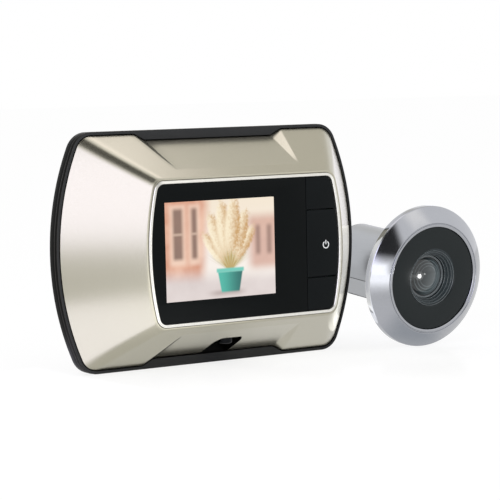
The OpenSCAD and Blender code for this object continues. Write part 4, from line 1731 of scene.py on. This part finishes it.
@dataclass
class Screws:
    """Lock screw and case screws with their cross recesses."""

    lock_y: float = LOCK_Y
    lock_top: float = -21.5
    z_head: float = -34.6
    lock_r: float = 1.5
    head_r: float = 2.75
    head_h: float = 2.6
    case_x: float = CASE_SCREW_X
    case_z: float = CASE_SCREW_Z
    case_head_y: float = -2.9
    small_r: float = 1.25
    small_head_r: float = 2.5
    small_head_t: float = 1.6
    small_l: float = 11.0
    pitch: float = 0.5
    thread_d: float = 0.16

    def screw(self, name: str, r: float, head_r: float, head_t: float, length: float) -> Piece:
        """Makes a screw along Y, with the top of its head at the origin.

        Args:
            name: Its name.
            r: Radius of the shank.
            head_r: Radius of the head.
            head_t: Thickness of the head.
            length: Length of the shank.

        Returns:
            The screw.
        """
        profile = [(head_r * 0.55, 0.0), (head_r * 0.78, -0.1), (head_r * 0.94, -0.36),
                   (head_r, -0.75), (head_r, -head_t), (r, -head_t)]
        for k in range(int(length / self.pitch) - 1):
            at = -head_t - 0.3 - self.pitch * k
            profile += [(r, at), (r - self.thread_d, at - 0.22), (r, at - 0.44)]
        profile += [(r * 0.7, -head_t - length)]
        made = Spindle(0, 0, 0, 48).disc(name, profile, 25.0)
        arm, slot, deep = about(0, head_r * 0.56), about(0, head_r * 0.12), (-0.9, 0.5)
        return carve(made, [block("cross", arm, deep, slot), block("cross", slot, deep, arm)])

    def dress_up(self, looks: Finishes) -> None:
        """Builds the screws and gives them their finishes.

        Args:
            looks: The finishes.
        """
        lock = self.screw("lock_screw_turned", self.lock_r, self.head_r, self.head_h,
                          self.lock_top - self.z_head)
        shift(lock, (0, self.lock_y, self.z_head - self.head_h), -math.pi / 2, "X")
        looks.dress(lock, "lock_screw", "dark_screw", "lock_screw")
        heads = []
        for x in (-self.case_x, self.case_x):
            for z in (-self.case_z, self.case_z):
                screw = self.screw("case_screw_set", self.small_r, self.small_head_r,
                                   self.small_head_t, self.small_l)
                top = self.case_head_y + self.small_head_t
                shift(screw, (x, top, z), 0.1 * x + 0.05 * z, "Y")
                heads.append(screw)
        looks.dress(joined(heads), "monitor", "screw_steel", "case_screws")


@dataclass
class DoorBracket:
    """Pressed steel plate with two hooks and the lock tab."""

    w: float = 40.0
    up: float = 30.0
    down: float = 25.0
    t: float = 1.5
    corner: float = 4.0
    hole_r: float = 9.8
    hook_x: float = HOOK_X
    hook_w: float = HOOK_W
    hook_z: float = 20.0
    y_lip: float = -3.6
    lip: float = 4.0
    tab_w: float = 14.0
    tab_end: float = -24.2
    tab_hole_y: float = LOCK_Y
    tab_hole_r: float = 1.8
    bend: float = 1.2
    edge: float = 0.12

    def strip(self, name: str, side: Profile, ends: Limits) -> Piece:
        """Bent strip between two places along X.

        Args:
            name: The strip's name.
            side: Its side profile of y and z.
            ends: Where it starts and ends along X.

        Returns:
            The strip.
        """
        outline = rounded(side, 5)
        small = outline + (outline.mean(0) - outline) * self.edge / self.hook_w
        start, end = ends
        loops = [np.column_stack([np.full(len(flat), x), flat]) for x, flat in (
            (start, small), (start + self.edge, outline),
            (end - self.edge, outline), (end, small))]
        return loft(name, loops, ring=False, caps=True)

    def build(self) -> Piece:
        """Makes the bracket.

        Returns:
            The bracket.
        """
        edge = oblong(about(0, self.w / 2), (-self.down, self.up), self.corner, 8)
        hole = arc(0, 0, self.hole_r, 0, 360, 96)[:-1]
        made = [plate("bracket_plate", [edge, hole], -self.t, 0.0, 0.15)]
        high, low = self.hook_z, -self.down
        far, near, top = self.y_lip - self.t, self.y_lip, self.hook_z + self.lip
        root = -0.2
        hook = [(root, high - self.t, 0.0), (root, high, 0.0), (near, high, 0.3), (near, top, 0.5),
                (far, top, 0.5), (far, high - self.t, self.bend)]
        for side in Side:
            ends = about(side.value * self.hook_x, self.hook_w / 2)
            made.append(self.strip("hook", hook, ends))
        tab = [(root, low, 0.5), (root, low + self.t, 0.0), (self.tab_end, low + self.t, 0.3),
               (self.tab_end, low, 0.3)]
        lock = self.strip("tab", tab, about(0, self.tab_w / 2))
        drill = Spindle(0, 0, 0, 40).rod("drill", self.tab_hole_r, (-2.0, 4.0))
        shift(drill, (0, self.tab_hole_y, low), math.pi / 2, "X")
        made.append(carve(lock, [drill]))
        return joined(made)

    def dress_up(self, looks: Finishes) -> None:
        """Builds the bracket and gives it its finish."""
        looks.dress(self.build(), "bracket", "zinc_steel", "bracket")


def camera_axis(steps: int) -> Spindle:
    """The axis of the outdoor unit, from its flange to the door."""
    z = FLOOR_Z + FLANGE_R * math.cos(math.radians(CAMERA_LEAN))
    return Spindle(CAMERA_X, CAMERA_Y, z, steps, CAMERA_LEAN)


@dataclass
class CameraHead:
    """Flange, gasket, dished disc and lens of the outdoor unit."""

    axis: Spindle = field(default_factory=lambda: camera_axis(160))
    flange_r: float = FLANGE_R
    rim_t: float = 3.0
    z_lip: float = -4.9
    lip_w: float = 1.6
    disc_r: float = 20.5
    gap: float = 0.15
    z_disc: float = -4.4
    z_seat: float = -2.6
    recess_r: float = 11.2
    # Step out from the lens and depth of each corner of the recess.
    recess: tuple[Pair, ...] = ((0.1, -1.2), (0.75, -1.25), (0.75, -2.4), (1.45, -2.45),
                                (1.45, -3.5), (2.15, -3.6))
    lens_r: float = 8.8
    glass_r: float = GLASS_R
    z_lens: float = 0.2
    z_glass: float = -1.9
    dome_h: float = 2.3
    glass_back: float = 2.2
    neck_r: float = 14.05
    gasket_t: float = 1.5
    tube_r: float = TUBE_R

    def build_flange(self) -> Piece:
        """Makes the flange with its bevel and the bright lip.

        Returns:
            The flange.
        """
        inner, lip = self.disc_r + self.gap, self.disc_r + self.gap + self.lip_w
        top, seat, web, room = self.z_lip, self.z_seat, 0.5, self.tube_r + 0.4
        return self.axis.turned("flange_ring", [
            (self.neck_r, web, 0.1), (self.neck_r, self.rim_t, 0.3),
            (self.flange_r, self.rim_t, 0.5), (self.flange_r, 0.0, 0.9), (lip, top, 0.2),
            (lip - 0.25, top + 0.4, 0.05), (lip - 0.5, top + 0.4, 0.05), (lip - 0.6, top, 0.2),
            (inner, top + 0.02, 0.35), (inner, seat, 0.1), (room, seat, 0.1), (room, web, 0.1),
        ], 6, 28.0)

    def build_gasket(self) -> Piece:
        """Makes the foam ring.

        Returns:
            The ring.
        """
        inner, outer = self.tube_r + self.gap, self.flange_r - 1.2
        front, back = self.rim_t, self.rim_t + self.gasket_t
        return self.axis.turned("gasket_ring", [
            (inner, front, 0.2), (inner, back, 0.3), (outer, back, 0.5), (outer, front, 0.2)])

    def build_disc(self) -> Piece:
        """Makes the smoked disc, stepped down towards the lens.

        Returns:
            The disc.
        """
        r, z, lens = self.recess_r, self.z_disc, self.lens_r
        steps = [
            (self.disc_r, z, 0.25), (self.disc_r, self.z_seat, 0.1), (r + 1.4, self.z_seat, 0.1),
            (lens + 1.4, -0.3, 0.1), (lens + 0.1, -0.3, 0.08)]
        steps += [(lens + out, deep, 0.12) for out, deep in self.recess]
        steps += [(r, z + 0.45, 0.2), (r + 0.45, z, 0.25)]
        return self.axis.turned("cover_disc", steps, 4, 28.0)

    def build_ring(self) -> Piece:
        """Makes the ring that holds the front lens.

        Returns:
            The ring.
        """
        g, z, out = self.glass_r + 0.05, self.z_lens, self.lens_r - 0.1
        return self.axis.turned("lens_bezel", [
            (g, z, 0.0), (out, z, 0.1), (out, z - 0.45, 0.1), (g + 0.5, z - 0.6, 0.1),
            (g + 0.4, z - 0.35, 0.05), (g + 0.2, z - 0.3, 0.05), (g, z - 0.3, 0.05)], 3, 25.0)

    def build_step_highlights(self) -> Piece:
        """Makes the fine pale rings on the steps of the recess: painted highlights.

        Returns:
            The rings.
        """
        rings = []
        lines = (*((*self.recess[k], half) for k, half in ((0, 0.12), (2, 0.1), (4, 0.1))),
                 (2.2, -4.0, 0.13))
        for out, z, half in lines:
            r = self.lens_r + out
            rings.append(self.axis.turned("recess_highlights", [
                (r - half, z, 0.03), (r, z - half, 0.03), (r + half, z, 0.03), (r, z + half, 0.03),
            ], 2))
        return joined(rings)

    def build_lens(self) -> Piece:
        """Makes the domed front lens.

        Returns:
            The lens.
        """
        dome = (self.glass_r ** 2 + self.dome_h ** 2) / (2 * self.dome_h)
        lean = math.asin(self.glass_r / dome)
        profile = [(max(dome * math.sin(a), 0.01), self.z_glass + dome * (1 - math.cos(a)))
                   for a in np.linspace(0, lean, 20)]
        profile.append((self.glass_r, self.glass_back))
        return self.axis.disc("lens_dome", profile, 50.0)

    def dress_up(self, looks: Finishes) -> None:
        """Builds the pieces and gives them their finishes.

        Args:
            looks: The finishes.
        """
        looks.dress(self.build_flange(), "camera", "flange_chrome", "flange")
        looks.dress(self.build_gasket(), "camera", "gasket_foam", "gasket")
        looks.dress(self.build_disc(), "camera", "smoked_disc", "lens_cover")
        # Painted highlights on the steps of the recess.
        looks.dress(self.build_step_highlights(), "camera", "lens_ring_dark")
        looks.dress(self.build_ring(), "camera", "lens_ring_dark", "lens_ring")
        looks.dress(self.build_lens(), "camera", "lens_glass", "front_lens")


@dataclass
class Barrel:
    """Barrel with its flat and threaded spigot, with the washer and the nut."""

    axis: Spindle = field(default_factory=lambda: camera_axis(144))
    neck_r: float = 14.0
    tube_r: float = TUBE_R
    bore_r: float = 11.8
    z_web: float = 0.5
    z_start: float = 5.0
    z_shoulder: float = 44.5
    z_end: float = 70.5
    z_chamber: float = 40.5
    spigot_r: float = 9.5
    way_r: float = 7.5
    flat_d: float = 13.2
    z_flat: float = 9.0
    flat_turn: float = 225.0
    pitch: float = 1.5
    thread_d: float = 0.55
    clear: float = 0.06
    nut_r: float = 12.7
    nut_t: float = 6.0
    z_nut: float = 63.2
    washer_r: float = 12.5
    washer_t: float = 1.2
    z_washer: float = 61.95
    line_r: float = 0.14

    def flattened(self, r: float, along: float) -> np.ndarray:
        """A ring of the barrel cut back to its flat.

        Args:
            r: Its radius.
            along: Distance along the axis.

        Returns:
            The ring's points.
        """
        turn = math.radians(self.flat_turn)
        way = np.array([math.cos(turn), 0.0, math.sin(turn)])
        loop = self.axis.loop(r, along)
        past = np.clip(loop @ way - self.flat_d, 0, None)
        return self.axis.put(loop - past[:, None] * way)

    def build_tube(self) -> Piece:
        """Makes the barrel, its flat and the thread of its spigot.

        Returns:
            The barrel.
        """
        ring = self.axis.ring
        core = self.spigot_r - self.thread_d
        loops = [ring(r, z) for r, z in (
            (self.bore_r, self.z_web), (self.neck_r, self.z_web), (self.neck_r, self.z_start),
            (self.tube_r - 0.3, self.z_start), (self.tube_r, self.z_start + 0.3),
            (self.tube_r, self.z_flat))]
        for z in (self.z_flat + 0.02, 20.0, 32.0, self.z_shoulder - 0.4):
            loops.append(self.flattened(self.tube_r, z))
        loops.append(self.flattened(self.tube_r - 0.4, self.z_shoulder))
        loops.append(ring(core, self.z_shoulder))
        turn = self.axis.turns() / (2 * math.pi)
        for z in np.arange(self.z_shoulder + 0.25, self.z_end - 0.2, self.pitch / 8):
            phase = (z / self.pitch - turn) % 1.0
            ridge = np.clip(1.35 - 2.7 * abs(phase - 0.5), 0, 1)
            fade = np.clip((self.z_end - z) / 1.5, 0, 1)
            fade *= np.clip((z - self.z_shoulder) / 1.2, 0, 1)
            loops.append(ring(core + self.thread_d * ridge * fade, z))
        loops += [ring(r, z) for r, z in (
            (core - 0.2, self.z_end), (self.way_r + 0.2, self.z_end),
            (self.way_r, self.z_end - 0.2), (self.way_r, self.z_chamber),
            (self.bore_r, self.z_chamber))]
        return loft("barrel_turned", loops, sharp=32.0)

    def build_flat_shade(self) -> Piece:
        """Makes the dark lines along the two edges of the flat, which paint their shade.

        Returns:
            The lines.
        """
        half = math.degrees(math.acos(self.flat_d / self.tube_r))
        lines = []
        for turn in (self.flat_turn - half, self.flat_turn + half):
            way = np.array([math.cos(math.radians(turn)), math.sin(math.radians(turn))])
            rod = arc(0, 0, self.line_r, 0, 360, 8)[:-1] + (self.tube_r - 0.5 * self.line_r) * way
            loops = [self.axis.put(np.column_stack([rod[:, 0], np.full(len(rod), z), rod[:, 1]]))
                     for z in (self.z_flat + 0.3, self.z_shoulder - 0.6)]
            lines.append(loft("flat_edge_shade", loops, ring=False, caps=True))
        return joined(lines)

    def build_washer(self) -> Piece:
        """Makes the washer.

        Returns:
            The washer.
        """
        inner, outer = self.spigot_r + self.clear, self.washer_r
        z0, z1 = self.z_washer, self.z_washer + self.washer_t
        return self.axis.turned("washer_ring", [
            (inner, z0, 0.1), (outer, z0, 0.25), (outer, z1, 0.25), (inner, z1, 0.1)])

    def build_nut(self) -> Piece:
        """Makes the hexagon nut with chamfered corners.

        Returns:
            The nut.
        """
        turn = self.axis.turns()
        flat = self.nut_r * math.cos(math.pi / 6)
        hexagon = flat / np.cos((turn + math.pi / 6) % (math.pi / 3) - math.pi / 6)
        hexagon = np.minimum(hexagon, self.nut_r - 0.08)
        inner = self.spigot_r + self.clear
        z0, z1 = self.z_nut, self.z_nut + self.nut_t
        loops = [self.axis.ring(inner + 0.35, z0), self.axis.ring(flat - 0.15, z0)]
        for z in (*np.linspace(z0 + 0.1, z0 + 1.1, 6), *np.linspace(z1 - 1.1, z1 - 0.1, 6)):
            near = min(z - z0, z1 - z)
            loops.append(self.axis.ring(np.minimum(hexagon, flat - 0.1 + 1.75 * near), z))
        loops += [self.axis.ring(flat - 0.15, z1), self.axis.ring(inner + 0.35, z1),
                  self.axis.ring(inner, z1 - 0.35), self.axis.ring(inner, z0 + 0.35)]
        return loft("nut_hexagon", loops, sharp=26.0)

    def dress_up(self, looks: Finishes) -> None:
        """Builds the pieces and gives them their finishes.

        Args:
            looks: The finishes.
        """
        looks.dress(self.build_tube(), "camera", "barrel_satin", "barrel_tube")
        # Painted shade along the edges of the flat.
        looks.dress(self.build_flat_shade(), "camera", "gasket_foam")
        looks.dress(self.build_washer(), "washer", "zinc_steel", "clamp_washer")
        looks.dress(self.build_nut(), "nut", "zinc_steel", "clamp_nut")


def facing(at: Sequence[float], way: Sequence[float]) -> Matrix:
    """Place and turn of a thing whose face looks along a way."""
    turn = Vector(way).to_track_quat("Z", "Y").to_matrix().to_4x4()
    return Matrix.Translation(Vector(at) * MM) @ turn


@dataclass(frozen=True)
class SoftBox:
    """A studio lamp with a soft face, turned to the object."""

    name: str
    way: Place
    far: float
    width: float
    height: float
    level: float

    def place(self, target: Vector) -> None:
        """Sets up the lamp.

        Args:
            target: The point that it faces.
        """
        lamp = bpy.data.lights.new(self.name, "AREA")
        lamp.shape = "RECTANGLE"
        lamp.size, lamp.size_y = self.width, self.height
        lamp.energy = self.level * math.pi * self.width * self.height
        obj = linked(self.name, lamp)
        way = Vector(self.way).normalized()
        obj.location = target + way * self.far
        obj.rotation_euler = way.to_track_quat("Z", "Y").to_euler()
        obj.visible_camera = obj.visible_glossy = False


@dataclass(frozen=True)
class Card:
    """A dark or lit card that shows only in the reflections of the shiny pieces."""

    name: str
    at: Place
    way: Place
    width: float
    height: float
    level: float
    tint: Colour = (1.0, 1.0, 1.0)
    soft: float = 0.3
    sides: int = 4

    def place(self) -> None:
        """Sets up the card."""
        turn = math.pi / self.sides
        size = np.array([self.width, self.height]) / (2 * math.cos(turn))
        start = math.degrees(turn)
        edge = arc(0, 0, 1, start, 360 + start, self.sides)[:-1] * size
        flat = np.column_stack([edge, np.zeros(self.sides)])
        card = piece_from(self.name, flat, [range(self.sides)])
        card.matrix_world = facing(self.at, self.way)
        for ray in ("camera", "diffuse", "shadow", "transmission", "volume_scatter"):
            setattr(card, "visible_" + ray, False)
        material, s = node_material(self.name)
        x, y, _ = s.axes(s.place())
        x, y = x / (self.width / 2 * MM), y / (self.height / 2 * MM)
        rim = abs(x).larger(abs(y)) if self.sides == 4 else (x * x + y * y).root()
        lit = s.glow((*self.tint, 1.0), self.level)
        clear = s.node("ShaderNodeBsdfTransparent")
        s.output(s.blend(rim.ease(1.0 - self.soft, 1.0), lit, clear))
        card.data.materials.append(material)


@dataclass(frozen=True)
class Glint:
    """A small lamp that shows only in the reflections of the shiny pieces."""

    name: str
    at: Place
    way: Place
    width: float
    height: float
    level: float
    disc: bool = False

    def place(self) -> None:
        """Sets up the lamp."""
        lamp = bpy.data.lights.new(self.name, "AREA")
        lamp.shape = "ELLIPSE" if self.disc else "RECTANGLE"
        lamp.size, lamp.size_y = self.width * MM, self.height * MM
        area = lamp.size * lamp.size_y * (math.pi / 4 if self.disc else 1.0)
        lamp.energy = self.level * math.pi * area
        obj = linked(self.name, lamp)
        # A lamp shines against its own Z.
        obj.matrix_world = facing(self.at, -Vector(self.way))
        for ray in ("camera", "diffuse", "transmission", "volume_scatter"):
            setattr(obj, "visible_" + ray, False)


@dataclass
class Studio:
    """Camera, floor, lamps and background."""

    # Camera, as fitted to the photograph: angles, shift in its own plane, distance and lens.
    azimuth: float = -34.636
    elevation: float = 4.489
    roll: float = -0.0215544
    shift_x: float = -10.6606
    shift_y: float = 0.38175
    far: float = 804.968
    origin: Place = (SCREEN_X, WINDOW_Y, SCREEN_Z)
    lens: float = 156.007
    sensor: float = 36.0
    # Fill light of the background, the point that lamps face, and the floor.
    fill: float = 0.55
    target: Place = (15.0, -20.0, -5.0)
    floor_half: float = 8000.0
    floor_grey: Colour = (0.86, 0.86, 0.86, 1.0)
    floor_dim: Colour = (0.79, 0.79, 0.78, 1.0)
    floor_glow: float = 1.21
    floor_matt: float = 0.3
    floor_gloss: float = 0.045
    gloss_roughness: float = 0.12
    gloss_x: float = 20.0
    gloss_y: float = -20.0
    gloss_w: float = 150.0
    gloss_d: float = 110.0
    boxes: tuple[SoftBox, ...] = (
        SoftBox("left_box", way=(-0.88, -0.40, 0.315), far=1.1, width=0.9, height=0.68, level=1.6),
    )
    cards: tuple[Card, ...] = (
        Card("left_card", (-958, -455, 338), (0.88, 0.4, -0.314), width=1600, height=1120,
             level=2.12, tint=(1.0, 0.98, 1.2), soft=0.5),
        Card("floor_card", (-95, -30, -44.7), (0, 0, 1), width=80, height=120,
             level=1.75, tint=(1.0, 0.99, 1.12), soft=0.2),
        Card("ridge_flag", (-116, -83, 269), (0.33, 0.28, -0.9), width=170, height=180,
             level=0.02, tint=(1.0, 0.9, 0.5), soft=0.15),
        Card("top_card", (40, 27, 235), (0, 0, -1), width=205, height=170,
             level=1.9, tint=(1.0, 0.95, 0.97), soft=0.75),
        Card("back_card", (800, 560, 1010), (-0.57, -0.4, -0.72), width=1300, height=1000,
             level=0.8, tint=(1.0, 0.98, 0.92)),
        Card("far_card", (427, 320, 20), (-0.73, -0.68, 0), width=340, height=190,
             level=1.28, tint=(1.0, 0.99, 1.06)),
        Card("under_card", (45, -25, -44.7), (0, 0, 1), width=90, height=110,
             level=0.86, soft=0.6),
        Card("flange_flag", (-31, -222, 125), (0.389, 0.764, -0.515), width=165, height=240,
             level=0.04, soft=0.5),
        Card("flange_card", (-87, -222, -24), (0.65, 0.75, 0.04), width=105, height=105,
             level=2.2, soft=0.6),
        Card("flange_floor", (-50, -170, -44.6), (0, 0, 1), width=300, height=300,
             level=2.0, soft=0.6, sides=24),
        Card("flange_top", (145, -160, 185), (-0.26, 0.61, -0.75), width=150, height=150,
             level=1.35, tint=(1.0, 0.98, 0.94), soft=0.9),
        Card("flange_shade", (82, -36, -44.6), (0, 0, 1), width=44, height=24,
             level=0.6, tint=(0.96, 1.0, 1.03), soft=0.8),
    )
    glints: tuple[Glint, ...] = (
        Glint("side_glint", (70, -14, -19), (-0.73, -0.68, 0), width=12, height=46, level=0.6),
        Glint("gap_glint", (56.5, -27, -17), (0.747, -0.664, 0), width=12, height=54, level=0.9),
        Glint("corner_glint", (59, -15, -37), (0.2, -0.85, 0.5), width=14, height=12, level=0.6),
        Glint("lens_glint", (84.4, -39.4, -17.8), (-0.08, 0.98, 0.2), width=3.4, height=3.4,
              level=16.0, disc=True),
        Glint("lens_haze", (84.4, -40.4, -17.8), (-0.08, 0.98, 0.2), width=7.5, height=7.5,
              level=1.0, disc=True),
        Glint("lens_spark", (88.8, -39.3, -16.3), (-0.41, 0.91, 0.07), width=1.6, height=1.6,
              level=4.0, disc=True),
    )

    def set_camera(self) -> None:
        """Sets up the camera at the photograph's viewing angle."""
        az, el = math.radians(self.azimuth), math.radians(self.elevation)
        back = Vector((math.sin(az) * math.cos(el), -math.cos(az) * math.cos(el), math.sin(el)))
        level = Vector((math.cos(az), math.sin(az), 0.0))
        upright = back.cross(level)
        c, s = math.cos(self.roll), math.sin(self.roll)
        right, up = c * level + s * upright, c * upright - s * level
        spot = Vector(self.origin) - self.shift_x * right - self.shift_y * up + self.far * back
        data = bpy.data.cameras.new("camera")
        data.lens, data.sensor_width = self.lens, self.sensor
        data.clip_start, data.clip_end = 0.01, 100.0
        obj = linked("camera", data)
        turn = Matrix((right, up, back)).transposed().to_4x4()
        obj.matrix_world = Matrix.Translation(spot * MM) @ turn
        bpy.context.scene.camera = obj

    def seen(self, s: Shader) -> Sock:
        """Mask of the rays that show the background itself.

        Args:
            s: The shader.

        Returns:
            1 for those rays and 0 for the others.
        """
        direct, mirrored, through = (s.node("ShaderNodeLightPath", out=f"Is {ray} Ray")
                                     for ray in ("Camera", "Glossy", "Transmission"))
        return direct.larger(mirrored).larger(through)

    def set_world(self) -> None:
        """Sets up a white background with a level fill light."""
        world = bpy.data.worlds.new("studio")
        world.use_nodes = True
        s = Shader(world.node_tree)
        strength = self.fill + (1.0 - self.fill) * self.seen(s)
        glow = s.node("ShaderNodeBackground", {}, {"Color": WHITE, "Strength": strength})
        s.node("ShaderNodeOutputWorld", {}, {"Surface": glow})
        bpy.context.scene.world = world

    def set_floor(self) -> None:
        """Sets up the pale floor, which keeps a soft shadow and a faint reflection."""
        edge = oblong(about(0, self.floor_half), about(0, self.floor_half), 0.0)
        flat = np.column_stack([edge, np.full(len(edge), FLOOR_Z)])
        floor = piece_from("floor", flat, [(0, 1, 2, 3)], outward=False)
        material, s = node_material("floor")
        matt = s.node("ShaderNodeBsdfDiffuse", {}, {"Color": self.floor_grey})
        gloss = s.node("ShaderNodeBsdfGlossy", {},
                       {"Color": WHITE, "Roughness": self.gloss_roughness})
        white, dimmed = (s.glow(colour, self.floor_glow) for colour in (WHITE, self.floor_dim))
        pale = s.blend(s.node("ShaderNodeLightPath", out="Is Camera Ray"), dimmed, white)
        pale = s.blend(self.floor_matt, pale, matt)
        x, y, _ = s.axes(s.place())
        across = (x - self.gloss_x * MM) / (self.gloss_w * MM)
        along = (y - self.gloss_y * MM) / (self.gloss_d * MM)
        near = 1.0 - (across * across + along * along).ease(0.5, 1.5)
        pale = s.blend(self.floor_gloss * near, pale, gloss)
        s.output(s.blend(self.seen(s), matt, pale))
        floor.data.materials.append(material)

    def set_up(self) -> None:
        """Sets up the whole studio."""
        bpy.context.scene.view_settings.view_transform = "Standard"
        self.set_camera()
        self.set_world()
        self.set_floor()
        for box in self.boxes:
            box.place(Vector(self.target) * MM)
        for light in (*self.cards, *self.glints):
            light.place()


def main() -> None:
    """Builds the sub-assemblies in order."""
    logging.basicConfig(level=logging.INFO, format="%(message)s")
    Studio().set_up()
    window = Window()
    picture = StreetPicture(
        window.screen_x - window.screen_w / 2, window.screen_z - window.screen_h / 2,
        window.screen_w, window.screen_h)
    looks = Finishes(picture)
    looks.coat_solids()
    for part in (Monitor(), window, Screws(), DoorBracket(), CameraHead(), Barrel()):
        part.dress_up(looks)
        LOG.info("built %s", type(part).__name__)


if __name__ == "__main__":
    main()
